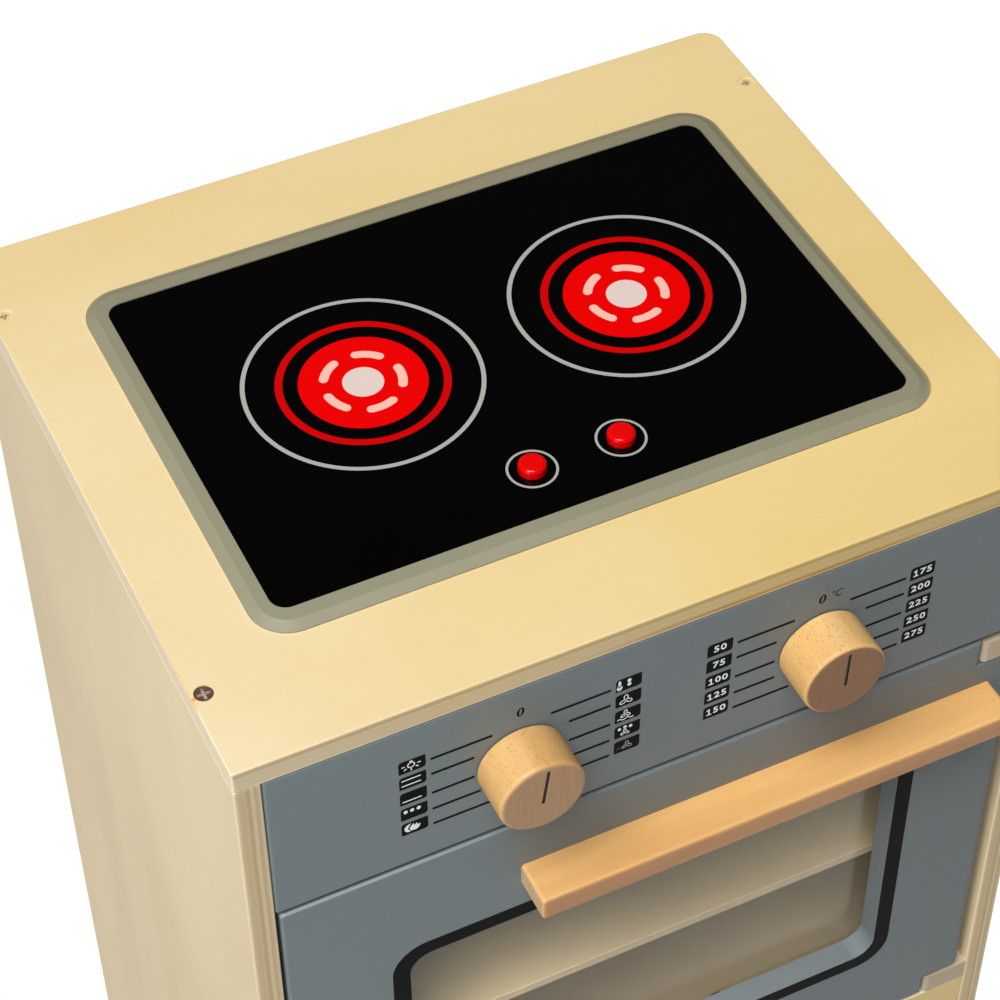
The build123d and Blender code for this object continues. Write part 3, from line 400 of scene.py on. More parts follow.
# %% Side and inner board finishes
SIDE_LAYERS = [(0.00, (246, 228, 188)), (0.09, (242, 222, 182)), (0.15, (222, 199, 157)),
               (0.30, (219, 193, 148)), (0.40, (224, 200, 156)), (0.46, (210, 184, 140)),
               (0.56, (206, 180, 138)), (0.62, (232, 213, 174)), (0.70, (228, 208, 168)),
               (0.76, (208, 182, 142)), (0.84, (216, 192, 152)), (0.92, (232, 212, 174)),
               (1.00, (236, 216, 178))]
side_faces = [(250, 230, 188), (244, 223, 182), (238, 215, 172)]
rail_faces = [(240, 214, 156), (234, 205, 145), (226, 194, 132)]
inner_faces = [(224, 204, 164), (217, 195, 152), (207, 183, 138)]
# Painted shade: the base and back boards take the inner boards' colours 16 % darker, so that the oven's
# inside looks dark. This shows from behind too.
shaded_inner_faces = [tuple(round(0.84 * part) for part in face) for face in inner_faces]
boards = [("side_panel_left", "X", "Z", side_faces, SIDE_LAYERS, 5.3),
          ("side_panel_right", "X", "Z", side_faces, SIDE_LAYERS, 8.9),
          ("front_rails", "Y", "X", rail_faces, EDGE_LAYERS, 1.7),
          ("storage_panel", "Z", "X", inner_faces, EDGE_LAYERS, 3.8),
          ("base_panel", "Z", "X", shaded_inner_faces, EDGE_LAYERS, 6.1),
          ("back_panel", "Y", "X", shaded_inner_faces, EDGE_LAYERS, 2.9),
          ("oven_shelf", "Z", "X", inner_faces, EDGE_LAYERS, 4.4),
          ("shelf_batten_left", "Z", "Y", inner_faces, SIDE_LAYERS, 7.7),
          ("shelf_batten_right", "Z", "Y", inner_faces, SIDE_LAYERS, 9.2),
          ("catch_block", "X", "Z", inner_faces, SIDE_LAYERS, 2.2)]
for node, thin, grain, faces, layers, seed in boards:
    low, high = edges_of(node)
    axis = AXES[thin]
    dress(plywood(node + "_birch", thin, low[axis], high[axis], grain, faces, layers, seed, 0.5, 0.25), node)
dress(worktop_finish, "worktop")
print("plywood on", len(boards) + 1, "boards")

# %% [markdown]
# ## Beech
# Knobs, handle and hinge blocks are beech. Beech is told by its rays: short brown dashes, a
# millimetre or two long, that all lie along the grain. They can be painted as stretched cells, each
# dash being the middle of one cell, and thinned out with a noise so that they bunch. Across the grain
# the same wood shows tiny pores and no dashes. The function takes the grain's axis, mixes both looks
# by the direction that the surface faces, and is used for every beech piece.

# %% The beech finish
def beech(name, grain, side, end, seed=0.0, dash=1.0, shine=0.46, lines=False):
    """A finish with dashes along the grain: side and end are the colours of those surfaces."""
    made = Finish(name, Roughness=shine, IOR=1.47, Coat_Weight=0.08, Coat_Roughness=0.35)
    long_way = [1.0, 1.0, 1.0]
    long_way[AXES[grain]] = 0.16
    flow = made.place(scale=tuple(long_way), shift=(seed, seed, seed))
    cloud = made.noise(flow, 60.0, 3.0, 0.55, 0.6)
    light, deep = side
    tone = made.ramp(cloud, [(0.30, light), (0.70, deep)])
    long_way[AXES[grain]] = 0.32
    dash_place = made.place(scale=tuple(long_way), shift=(seed * 0.3, seed * 0.2, seed * 0.9))
    cells = made.cells(dash_place, 1000.0)
    near = made.span(cells.outputs["Distance"], 0.10, 0.27, 1.0, 0.0)
    bunch = made.span(made.noise(flow, 210.0, 2.0, 0.5), 0.24, 0.44)
    dashes = made.times(near, bunch, 0.62 * dash)
    tone = made.mix(dashes, tone, (150, 92, 42), "MIX")
    long_way[AXES[grain]] = 0.03
    fibre = made.noise(made.place(scale=tuple(long_way)), 900.0, 3.0, 0.6)
    tone = made.mix(made.span(fibre, 0.3, 0.7, 0.10, 0.0), tone, deep, "MULTIPLY")
    pores = made.noise(made.point, 1500.0, 3.0, 0.65)
    if lines:
        bands = made.noise(made.place(scale=(1, 1, 0.06), shift=(seed, 0, 0)), 700.0, 3.0, 0.6)
    else:
        bands = made.noise(made.place(shift=(seed, 0, 0)), 90.0, 2.0, 0.4, 0.8)
    end_light, end_deep = end
    end_tone = made.ramp(bands, [(0.32, end_light), (0.68, end_deep)])
    end_tone = made.mix(made.span(pores, 0.35, 0.62, 0.14, 0.0), end_tone, (120, 78, 44), "MULTIPLY")
    is_end = made.span(made.facing()[AXES[grain]], 0.70, 0.97, smooth=True)
    made.colour(made.mix(is_end, tone, end_tone))
    made.roughness(made.span(fibre, 0.2, 0.8, shine - 0.05, shine + 0.12))
    made.bump(made.minus(fibre, dashes), 0.14, 0.00015)
    return made


handle_finish = beech("handle_beech", "X", [(238, 190, 120), (226, 172, 106)],
                      [(228, 194, 150), (216, 180, 134)], seed=1.3, dash=0.25, shine=0.42)
block_finish = beech("hinge_block_beech", "X", [(204, 186, 160), (192, 173, 145)],
                     [(222, 204, 190), (210, 192, 176)], seed=4.1, dash=0.15)
# Painted shade: the handle's front face is made darker and greyer than its top.
painted_front_shade = handle_finish.span(handle_finish.facing()[1], 0.55, 0.90, smooth=True)
handle_finish.tint(painted_front_shade, (216, 209, 232), "MULTIPLY")
dress(handle_finish, "handle_bar")
dress(block_finish, "hinge_block_upper", "hinge_block_lower")
print("beech on handle and hinge blocks")

# %% [markdown]
# ### Knobs
# A knob is turned from beech with its grain along the shaft, so its round side has the dashes and
# its face is browner end grain. A thin groove across the face is filled with black. The groove is in
# the solid, so the black only has to follow it: a point is black where it lies close to the groove's
# line and below the face. Both knobs share the tree, because the sign of X tells them apart: each
# has its own tone, and the right one's mark stands straighter.

# %% Knob finish with its black mark
left_low, left_high = edges_of("knob_left")
right_low, right_high = edges_of("knob_right")
left_middle = (left_low + left_high) / 2
right_middle = (right_low + right_high) / 2
knob_finish = beech("knob_beech", "Y", [(238, 196, 130), (226, 177, 108)],
                    [(200, 162, 121), (190, 151, 111)], seed=2.6, dash=0.95, lines=True)
x, y, z = knob_finish.axes()
is_right = knob_finish.math("GREATER_THAN", x, 0.0)


def by_knob(left, right):
    """One number on the left knob and another on the right one."""
    return knob_finish.plus(knob_finish.times(is_right, right - left), left)


own_x = knob_finish.minus(x, by_knob(left_middle.x, right_middle.x))
own_z = knob_finish.minus(z, right_middle.z)
lean = [math.radians(7.5), math.radians(2.0)]
MARK_HALF_WIDTH, MARK_TAIL, MARK_END = 0.78 * MM, -3.7 * MM, 16.8 * MM
MARK_SKIN, MARK_DEPTH = 0.05 * MM, 0.6 * MM
cosine, sine = by_knob(*map(math.cos, lean)), by_knob(*map(math.sin, lean))
across = knob_finish.math("ABSOLUTE", knob_finish.minus(knob_finish.times(own_x, cosine),
                                                        knob_finish.times(own_z, sine)))
length = knob_finish.plus(knob_finish.times(own_x, sine), knob_finish.times(own_z, cosine))
in_width = knob_finish.math("LESS_THAN", across, MARK_HALF_WIDTH)
in_length = knob_finish.times(knob_finish.math("GREATER_THAN", length, MARK_TAIL),
                              knob_finish.math("LESS_THAN", length, MARK_END))
sunk = knob_finish.times(knob_finish.math("GREATER_THAN", y, right_low.y + MARK_SKIN),
                         knob_finish.math("LESS_THAN", y, right_low.y + MARK_DEPTH))
mark = knob_finish.times(in_width, in_length, sunk)
forward = knob_finish.span(knob_finish.facing()[1], 0.70, 0.97, smooth=True)
knob_finish.tint(knob_finish.times(is_right, forward), (200, 184, 176), "MULTIPLY")
knob_finish.tint(knob_finish.minus(1.0, is_right), (243, 241, 240), "MULTIPLY")
knob_finish.tint(mark, (24, 20, 17))
dress(knob_finish, "knob_left", "knob_right")
print("knobs at x =", round(left_middle.x / MM, 2), "and", round(right_middle.x / MM, 2), "mm")

# %% [markdown]
# ## Slate paint
# Door and control panel are sprayed with a satin slate-grey paint. Sprayed paint isn't flat: it has a shallow
# orange-peel ripple and the colour clouds a little. A low bump, a few per cent of colour drift and a varied
# roughness are enough for that. The colour also carries painted shade that grows towards the right, where the
# light falls off, and a painted highlight on the door's top arris at the left.

# %% Paint finish
paint = Finish("slate_satin_paint", Roughness=0.44, IOR=1.48)
drift = paint.noise(paint.place(), 7.0, 3.0, 0.5, 0.4)
tone = paint.ramp(drift, [(0.25, (125, 137, 140)), (0.55, (122, 134, 137)),
                          (0.80, (119, 132, 135))])
x, _, z = paint.axes()
# Painted shade: the colour grows a little darker towards the right, where the light falls off.
rightward = paint.span(x, -0.15, 0.18)
tone = paint.mix(rightward, tone, (244, 236, 236), "MULTIPLY")
# Painted highlight on the door's top arris, strongest at the left and fading out towards the middle.
upward = paint.axes(paint.normal)[2]
arris = paint.times(paint.span(upward, 0.20, 0.50), paint.span(upward, 0.88, 0.99, 1.0, 0.0))
on_door = paint.span(z, 0.56, 0.60, 1.0, 0.0)
at_left = paint.span(x, -0.14, -0.02, 0.42, 0.0)
painted_arris_highlight = paint.times(arris, on_door, at_left)
tone = paint.mix(painted_arris_highlight, tone, (186, 198, 200))
speck = paint.noise(paint.point, 1300.0, 3.0, 0.6)
tone = paint.mix(paint.span(speck, 0.30, 0.70, 0.07, 0.0), tone, (86, 92, 96), "MULTIPLY")
paint.colour(tone)
peel = paint.noise(paint.point, 420.0, 2.0, 0.5)
paint.roughness(paint.span(peel, 0.25, 0.75, 0.38, 0.50))
paint.bump(peel, 0.10, 0.00012)
dress(paint, "control_panel", "door_panel")
print("paint on control panel and door")

# %% [markdown]
# ## Hob surround, plate and buttons
# The surround is a moulded frame in grey-green plastic with a fine matt grain. The plate is a gloss
# black sheet: nearly all of what one sees of it is reflection, so its own colour is almost nothing
# and a very faint print texture keeps it from being a hole in the picture. The buttons are glossy red.
# The surround's outer slope turns from us at the rear and the right, where it would mirror the wood that it
# faces: that reflection is painted into its colour, which grows warmer there. The surround's colour is also
# painted darker towards the rear right, as painted shade where the light falls off.

# %% Plastic finishes of the hob
def moulded(name, colour, deep, rough, grain=1800.0, strength=0.08, **values):
    """A moulded plastic: slight colour drift, fine grain in the bump and the roughness."""
    made = Finish(name, Roughness=rough, IOR=1.49, **values)
    drift = made.noise(made.place(), 22.0, 2.0, 0.5)
    made.colour(made.ramp(drift, [(0.25, colour), (0.75, deep)]))
    fine = made.noise(made.point, grain, 2.0, 0.5)
    made.roughness(made.span(fine, 0.25, 0.75, rough - 0.05, rough + 0.06))
    made.bump(fine, strength, 0.00008)
    return made


bezel_finish = moulded("surround_grey_green", (153, 150, 126), (148, 145, 120), 0.46)
x, y, z = bezel_finish.axes()
# Painted shade: the surround grows darker towards the rear right, where the light falls off.
painted_shade_rear_right = bezel_finish.span(bezel_finish.plus(bezel_finish.times(x, 0.6), y), -0.16, 0.20)
bezel_finish.tint(painted_shade_rear_right, (238, 234, 226), "MULTIPLY")
normal_x, normal_y, _ = bezel_finish.axes(bezel_finish.normal)
# Painted reflection: the lower outer slope that faces rear or right takes the warm colour of the wood that it
# would mirror.
painted_reflection_slope = bezel_finish.span(bezel_finish.math("MAXIMUM", normal_x, normal_y), 0.20, 0.45)
low_down = bezel_finish.span(z, plate_top - 0.6 * MM, plate_top - 1.6 * MM)
bezel_finish.tint(bezel_finish.times(painted_reflection_slope, low_down), (206, 182, 128))
plate_finish = moulded("hob_gloss_black", (3, 2, 2), (2, 1, 1), 0.08, 2600.0, 0.012,
                       Specular_IOR_Level=0.16)
button_finish = moulded("button_gloss_red", (238, 2, 2), (230, 2, 2), 0.16, 2200.0, 0.02,
                        Specular_IOR_Level=0.25, Coat_Weight=0.12, Coat_Roughness=0.08)
dress(bezel_finish, "hob_bezel")
dress(plate_finish, "hob_plate")
dress(button_finish, "button_left", "button_right")
print("hob finishes set")

# %% [markdown]
# ## The window
# The pane is a clear acrylic sheet behind the opening. A real sheet mirrors a little of the room and
# lets the rest through, in both directions. Rendered glass blocks lamps unless it is told not to, and
# then the oven's inside would be black, so rays from lamps meet a transparent shader instead.

# %% Pane finish
def linear_ramp(made, factor, colours):
    """A ramp between two colours that are given as linear numbers, not picked on a screen."""
    ramp = made.tree.nodes.new("ShaderNodeValToRGB")
    made.join(factor, ramp.inputs[0])
    for element, spot, colour in zip(ramp.color_ramp.elements, (0.2, 0.8), colours):
        element.position = spot
        element.color = colour
    return ramp.outputs[0]


pane = Finish("clear_acrylic", Roughness=0.03, IOR=1.49, Transmission_Weight=1.0)
haze = pane.noise(pane.place(), 16.0, 3.0, 0.5)
PANE_COLOURS = (0.90, 0.89, 0.86, 1), (0.86, 0.85, 0.82, 1)
pane.colour(linear_ramp(pane, haze, PANE_COLOURS))
clear = pane.tree.nodes.new("ShaderNodeBsdfTransparent")
clear.inputs[0].default_value = (0.92, 0.91, 0.89, 1)
path = pane.tree.nodes.new("ShaderNodeLightPath")
choose = pane.tree.nodes.new("ShaderNodeMixShader")
pane.join(path.outputs["Is Shadow Ray"], choose.inputs[0])
pane.join(pane.shader.outputs[0], choose.inputs[1])
pane.join(clear.outputs[0], choose.inputs[2])
pane.join(choose.outputs[0], pane.output.inputs["Surface"])
dress(pane, "window_pane")
print("pane set")

# %% [markdown]
# ## Metal, nylon and what is inside
# Screws show as dark bronze on the worktop and as bright zinc elsewhere. Turned metal is brushed
# round its own axis, but at this size a fine noise in the roughness says the same. The inner parts
# are seen only through the window or with the door open, and still get a finish of their own.

# %% Metal and inner finishes
def metal(name, colour, deep, rough):
    """A metal with fine scratches in its roughness and a little tarnish in its colour."""
    made = Finish(name, Metallic=1.0, Roughness=rough)
    tarnish = made.noise(made.point, 300.0, 3.0, 0.6)
    made.colour(made.ramp(tarnish, [(0.3, colour), (0.75, deep)]))
    fine = made.noise(made.place(scale=(1, 1, 0.2)), 1400.0, 3.0, 0.6)
    made.roughness(made.span(fine, 0.25, 0.75, rough - 0.08, rough + 0.14))
    made.bump(fine, 0.08, 0.00005)
    return made


zinc = metal("bright_zinc", (196, 196, 198), (168, 168, 172), 0.28)
nickel = metal("magnet_nickel", (206, 204, 200), (184, 182, 178), 0.20)
brass = metal("contact_brass", (212, 182, 116), (184, 150, 88), 0.30)
nylon = moulded("natural_nylon", (232, 230, 220), (222, 219, 208), 0.42)
tray = moulded("tray_black", (40, 40, 42), (32, 32, 34), 0.52)
milk = moulded("diffuser_milk", (240, 232, 228), (232, 222, 218), 0.50)
dress(zinc, "batten_screws", "pane_screws", "handle_screws", "hinge_block_screws", "catch_screws",
      "strike_screw", "tray_screws", "board_screws", "battery_cover_screw", "hinge_pin_upper",
      "hinge_pin_lower", "knob_left_spindle", "knob_right_spindle", "knob_left_washer",
      "knob_right_washer", "knob_left_nut", "knob_right_nut", "strike_plate")
dress(nickel, "catch_magnet")
dress(brass, "battery_contacts")
dress(nylon, "hinge_bush_upper", "hinge_bush_lower", "knob_left_bush", "knob_right_bush",
      "foot_glides", "button_left_plunger", "button_right_plunger")
dress(tray, "hob_tray", "battery_cover", "light_wells", "button_switches")
dress(milk, "light_diffusers", "burner_leds")
dowel_finish = beech("dowel_beech", "X", [(226, 200, 156), (214, 184, 138)],
                     [(206, 176, 134), (192, 160, 118)], seed=7.2, dash=0.5)
dress(dowel_finish, "frame_dowels")
print("metal and inner finishes set")

# %% [markdown]
# The worktop's screws look different from corner to corner. The front ones are bronze, with a painted
# highlight that makes the cross of each recess bright. The rear ones are filled over: the filler has nearly
# the wood's colour, and a small olive spot is painted over each recess. The finish finds a screw's own middle
# by the signs of X and Y, and a point's distance from it.

# %% Worktop screw finish
screw_low, screw_high = edges_of("worktop_screws")
HEAD = 4.2 * MM
screws = Finish("worktop_screw_heads", Roughness=0.46, Metallic=0.0)
x, y, z = screws.axes()
reach_x = (screw_high.x - screw_low.x) / 2 - HEAD
middle_y = (screw_high.y + screw_low.y) / 2
reach_y = (screw_high.y - screw_low.y) / 2 - HEAD
own_x = screws.minus(x, screws.times(screws.math("SIGN", x), reach_x))
from_y = screws.minus(y, middle_y)
rear = screws.math("GREATER_THAN", from_y, 0.0)
own_y = screws.minus(from_y, screws.times(screws.math("SIGN", from_y), reach_y))
wide_x, wide_y = screws.math("ABSOLUTE", own_x), screws.math("ABSOLUTE", own_y)
from_middle = screws.math("SQRT", screws.plus(screws.times(own_x, own_x),
                                              screws.times(own_y, own_y)))
wear_and_glint_noise = screws.noise(screws.point, 1100.0, 3.0, 0.6)
brown = screws.ramp(wear_and_glint_noise, [(0.3, (104, 76, 54)), (0.6, (86, 62, 44)), (0.8, (128, 98, 74))])
# Painted highlight: a bright glint on the cross recess of each front screw.
arm = screws.span(screws.math("MINIMUM", wide_x, wide_y), 0.0004, 0.0008, 1.0, 0.0)
arm = screws.times(arm, screws.span(from_middle, 0.0022, 0.0032, 1.0, 0.0))
painted_cross_glint = screws.times(arm, screws.span(wear_and_glint_noise, 0.42, 0.56, 0.35, 1.0))
bronze_with_painted_glint = screws.mix(painted_cross_glint, brown, (226, 204, 194))
filler = screws.ramp(wear_and_glint_noise, [(0.3, (240, 217, 166)), (0.8, (230, 204, 150))])
# A small olive spot is painted over each rear recess.
olive_spot_reach = screws.plus(from_middle, screws.span(wear_and_glint_noise, 0.2, 0.8, -0.0009, 0.0009))
filler_with_olive_spot = screws.mix(screws.span(olive_spot_reach, 0.0010, 0.0024, 0.75, 0.0), filler, (164, 142, 88))
screws.colour(screws.mix(rear, bronze_with_painted_glint, filler_with_olive_spot))
screws.bump(wear_and_glint_noise, 0.10, 0.00008)
dress(screws, "worktop_screws")
print("screw heads at x = +-", round(reach_x / MM, 1), "mm")

# %% [markdown]
# The circuit board carries copper tracks under green lacquer, which a grid of cells suggests well
# enough at arm's length. The cells in the battery bay are wrapped in plain green film with a bare
# steel end, and the wrap stops where the can's shoulder begins.

# %% Circuit board and battery finishes
circuit = Finish("green_circuit", Roughness=0.38, IOR=1.5)
tracks = circuit.cells(circuit.place(scale=(1, 1, 0.1)), 95.0, "DISTANCE_TO_EDGE", 0.75)
is_track = circuit.span(tracks.outputs["Distance"], 0.03, 0.06, 1.0, 0.0)
circuit.colour(circuit.mix(is_track, (22, 84, 48), (64, 132, 76)))
circuit.bump(is_track, 0.2, 0.0001)
dress(circuit, "circuit_board")
wrap = Finish("battery_wrap", Roughness=0.34, IOR=1.5)
cell_high = edges_of("batteries")[1]
x, y, z = wrap.axes()
steel_end = wrap.math("GREATER_THAN", x, cell_high.x - 0.0032)
scuff = wrap.noise(wrap.point, 260.0, 3.0, 0.6)
film = wrap.ramp(scuff, [(0.3, (38, 98, 62)), (0.75, (30, 82, 52))])
wrap.colour(wrap.mix(steel_end, film, (186, 186, 188)))
wrap.join(steel_end, wrap.shader.inputs["Metallic"])
wrap.bump(scuff, 0.05, 0.0001)
dress(wrap, "batteries")
print("board and batteries set")

# %% [markdown]
# ## Inks
# The panel's labels and the hob's rings are screen prints: flat, sharp and hardly thicker than
# paint. Each ink layer is modelled as a closed film a twentieth of a millimetre thick that lies on
# the surface, so that it stays sharp at any distance. An ink still needs a little life, so each has a
# fine stipple. The burners are lit from below, which their inks show by giving light themselves.

# %% Ink finishes
INK = 0.05 * MM


def ink(name, colour, deep, rough=0.42, glow=None, power=0.0):
    """A printed colour with a fine stipple, that may give light."""
    made = Finish(name, Roughness=rough, IOR=1.48, Specular_IOR_Level=0.06)
    stipple = made.noise(made.point, 2400.0, 2.0, 0.5)
    made.colour(made.ramp(stipple, [(0.35, colour), (0.70, deep)]))
    made.bump(stipple, 0.04, 0.00004)
    if glow:
        made.shader.inputs["Emission Color"].default_value = srgb(*glow)
        made.shader.inputs["Emission Strength"].default_value = power
    return made


black_ink = ink("ink_black", (13, 19, 17), (9, 14, 12))
line_ink = ink("ink_leader_black", (15, 21, 20), (10, 15, 14))
white_ink = ink("ink_white", (250, 252, 250), (238, 242, 240))
border_ink = ink("ink_window_border", (18, 19, 19), (12, 13, 13), 0.38)
grey_ink = ink("ink_ring_grey", (178, 180, 172), (164, 166, 158))
brown_ink = ink("ink_dim_brown", (122, 96, 74), (108, 84, 64))
ring_red = ink("ink_ring_red", (186, 4, 6), (174, 3, 5), glow=(210, 2, 4), power=0.26)
disc_red = ink("ink_disc_red", (206, 2, 2), (198, 1, 1), glow=(230, 0, 0), power=0.30)
dash_pink = ink("ink_lit_dash", (226, 176, 160), (220, 168, 152), glow=(236, 184, 166), power=0.24)
lit_pink = ink("ink_lit_spot", (206, 190, 182), (202, 184, 176), glow=(220, 196, 186), power=0.22)
print("inks ready, film thickness", INK / MM, "mm")

# %% [markdown]
# ### Repeating prints with Geometry Nodes
# Twenty label boxes, twenty leader lines, ten dashes and eight rings are the same few shapes over
# and over. That is what Geometry Nodes are for: a tree with named sizes draws the shape once and
# sets it on every point of a small mesh. The next helper makes a tree with its inputs. The one after
# it runs a tree on a list of points, turns the result into a plain mesh and removes the modifier.

# %% Helpers for geometry trees
def new_tree(name, inputs):
    """A geometry tree with a Geometry input and output and the named inputs (name, kind, default)."""
    tree = bpy.data.node_groups.new(name, "GeometryNodeTree")
    tree.interface.new_socket("Geometry", in_out="INPUT", socket_type="NodeSocketGeometry")
    for label, kind, default in inputs:
        socket = tree.interface.new_socket(label, in_out="INPUT", socket_type=kind)
        if default is not None:
            socket.default_value = default
    tree.interface.new_socket("Geometry", in_out="OUTPUT", socket_type="NodeSocketGeometry")
    start = tree.nodes.new("NodeGroupInput")
    end = tree.nodes.new("NodeGroupOutput")
    return tree, start, end


def step(tree, kind, links=(), **settings):
    """One node with its settings, linked from (socket, input name or number) pairs."""
    node = tree.nodes.new(kind)
    for key, value in settings.items():
        setattr(node, key, value)
    for source, target in links:
        tree.links.new(source, node.inputs[target])
    return node


def thicken(tree, flat, thickness):
    """A flat face pushed up by a thickness, with its underside kept, so that the film is closed."""
    rise = step(tree, "ShaderNodeCombineXYZ", [(thickness, "Z")])
    top = step(tree, "GeometryNodeExtrudeMesh", [(flat, "Mesh"), (rise.outputs[0], "Offset")], mode="FACES")
    top.inputs["Individual"].default_value = False
    top.inputs["Offset Scale"].default_value = 1.0
    under = step(tree, "GeometryNodeFlipFaces", [(flat, "Mesh")])
    both = step(tree, "GeometryNodeJoinGeometry", [(under.outputs[0], 0)])
    tree.links.new(top.outputs["Mesh"], both.inputs[0])
    weld = step(tree, "GeometryNodeMergeByDistance", [(both.outputs[0], "Geometry")])
    weld.inputs["Distance"].default_value = 1e-6
    return weld.outputs[0]


def close_tree(tree, geometry, start, end):
    """Realize the copies and set the ink, the way every tree here ends."""
    real = step(tree, "GeometryNodeRealizeInstances", [(geometry, 0)])
    inked = step(tree, "GeometryNodeSetMaterial", [(real.outputs[0], 0), (start.outputs["Ink"], "Material")])
    tree.links.new(inked.outputs[0], end.inputs[0])


def run_tree(name, tree, points, finish, sizes, lengths=None, turn=None, body="cabinet"):
    """Runs a tree on points, as a plain mesh that rides on a body. turn stands the flat print upright."""
    values = {"Thickness": INK, "Ink": finish.material, **sizes}
    mesh = bpy.data.meshes.new(name + "_points")
    mesh.from_pydata(points, [], [])
    if lengths:
        mesh.attributes.new("length", "FLOAT", "POINT").data.foreach_set("value", lengths)
    base = put(name + "_points", mesh)
    modifier = base.modifiers.new("print", "NODES")
    modifier.node_group = tree
    for item in tree.interface.items_tree:
        if item.in_out == "INPUT" and item.name in values:
            modifier[item.identifier] = values[item.name]
    bpy.context.view_layer.update()
    seen = base.evaluated_get(bpy.context.evaluated_depsgraph_get())
    plain = bpy.data.meshes.new_from_object(seen)
    base.modifiers.remove(modifier)
    bpy.data.objects.remove(base)
    if turn:
        plain.transform(turn)
    plain.name = name
    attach(put(name, plain), body)
    print(name, "faces:", len(plain.polygons), "on", len(points), "points")


def fillet(tree, curve, radius):
    """Rounds a curve's corners, with five points on each."""
    rounded = step(tree, "GeometryNodeFilletCurve", [(curve, "Curve"), (radius, "Radius")], mode="POLY")
    rounded.inputs["Count"].default_value = 5
    return rounded.outputs[0]


def print_on_points(tree, curve, start, end):
    """Fills a curve, thickens it, sets it on the points and closes the tree."""
    fill = step(tree, "GeometryNodeFillCurve", [(curve, 0)])
    film = thicken(tree, fill.outputs[0], start.outputs["Thickness"])
    copies = step(tree, "GeometryNodeInstanceOnPoints", [(start.outputs["Geometry"], "Points"),
                                                         (film, "Instance")])
    close_tree(tree, copies.outputs[0], start, end)


print("geometry helpers ready")

# %% [markdown]
# The first tree draws rounded plates. A rectangle's corners are filleted with a radius that differs
# between odd and even corners, because the real labels have two tight and two generous corners. The
# plate's length can also come from each point, which is what the leader lines need.

# %% The tree for rounded plates
def plate_tree():
    """Rounded plates, one on each point, all alike or each as long as its point says."""
    tree, start, end = new_tree("rounded_plates", [
        ("Width", "NodeSocketFloat", 0.0123), ("Height", "NodeSocketFloat", 0.0079),
        ("Tight Corner", "NodeSocketFloat", 0.0004), ("Wide Corner", "NodeSocketFloat", 0.0015),
        ("Thickness", "NodeSocketFloat", INK), ("Stretch", "NodeSocketBool", False),
        ("Ink", "NodeSocketMaterial", None)])
    outline = step(tree, "GeometryNodeCurvePrimitiveQuadrilateral",
                   [(start.outputs["Width"], "Width"), (start.outputs["Height"], "Height")])
    number = step(tree, "GeometryNodeInputIndex")
    odd = step(tree, "ShaderNodeMath", [(number.outputs[0], 0)], operation="MODULO")
    odd.inputs[1].default_value = 2.0
    corner = step(tree, "GeometryNodeSwitch", [
        (odd.outputs[0], "Switch"), (start.outputs["Tight Corner"], "False"),
        (start.outputs["Wide Corner"], "True")], input_type="FLOAT")
    fill = step(tree, "GeometryNodeFillCurve", [(fillet(tree, outline.outputs[0], corner.outputs[0]), 0)])
    film = thicken(tree, fill.outputs[0], start.outputs["Thickness"])
    own_length = step(tree, "GeometryNodeInputNamedAttribute", data_type="FLOAT")
    own_length.inputs["Name"].default_value = "length"
    grow = step(tree, "GeometryNodeSwitch", [
        (start.outputs["Stretch"], "Switch"), (own_length.outputs[0], "True")], input_type="FLOAT")
    grow.inputs["False"].default_value = 1.0
    size = step(tree, "ShaderNodeCombineXYZ", [(grow.outputs[0], "X")])
    size.inputs["Y"].default_value = 1.0
    size.inputs["Z"].default_value = 1.0
    copies = step(tree, "GeometryNodeInstanceOnPoints", [(start.outputs["Geometry"], "Points"),
                  (film, "Instance"), (size.outputs[0], "Scale")])
    close_tree(tree, copies.outputs[0], start, end)
    return tree


plates = plate_tree()
print("plate tree nodes:", len(plates.nodes))

# %% [markdown]
# ### Label boxes and leader lines on the panel
# Four columns of five black boxes flank the knobs. Their places are measured from the panel's top
# edge and its middle. The print is drawn lying down, with X to the right and Y up, and then stood
# up against the panel's face by one turn about X.

# %% Boxes and leader lines
def stand_up(face_y):
    """Turns a flat print so that its Y becomes Z and its front faces -Y, at a given depth."""
    return Matrix.Translation((0, face_y, 0)) @ Matrix.Rotation(math.radians(90), 4, "X")


panel_top = panel_high.z
column_x = [-122.8, -22.5, 21.2, 121.6]
row_drop = [24.0, 34.3, 44.8, 55.2, 65.5]
box_points = [(x * MM, panel_top - drop * MM, 0) for x in column_x for drop in row_drop]
run_tree("panel_label_boxes", plates, box_points, black_ink,
         {"Width": 12.3 * MM, "Height": 7.9 * MM, "Tight Corner": 0.45 * MM, "Wide Corner": 1.7 * MM},
         turn=stand_up(front_face))
line_drop = [24.8, 34.8, 47.5, 58.4, 68.6]
line_spans = [[(-114.4, -86.2), (-114.4, -94.7), (-114.4, -94.7), (-114.4, -92.0), (-114.4, -86.2)],
              [(-59.1, -30.9), (-50.6, -30.9), (-50.5, -30.9), (-50.6, -30.9), (-59.1, -30.9)],
              [(29.7, 57.8), (29.7, 49.4), (29.7, 49.3), (29.7, 50.0), (29.7, 57.8)],
              [(85.2, 113.2), (93.8, 113.2), (95.1, 113.2), (93.8, 113.2), (85.2, 113.2)]]
line_points, line_lengths = [], []
for spans in line_spans:
    for (x0, x1), drop in zip(spans, line_drop):
        line_points.append(((x0 + x1) / 2 * MM, panel_top - drop * MM, 0))
        line_lengths.append(x1 - x0)
run_tree("panel_leader_lines", plates, line_points, line_ink,
         {"Width": 1.0 * MM, "Height": 1.45 * MM, "Tight Corner": 0.0, "Wide Corner": 0.0, "Stretch": True},
         lengths=line_lengths, turn=stand_up(front_face))

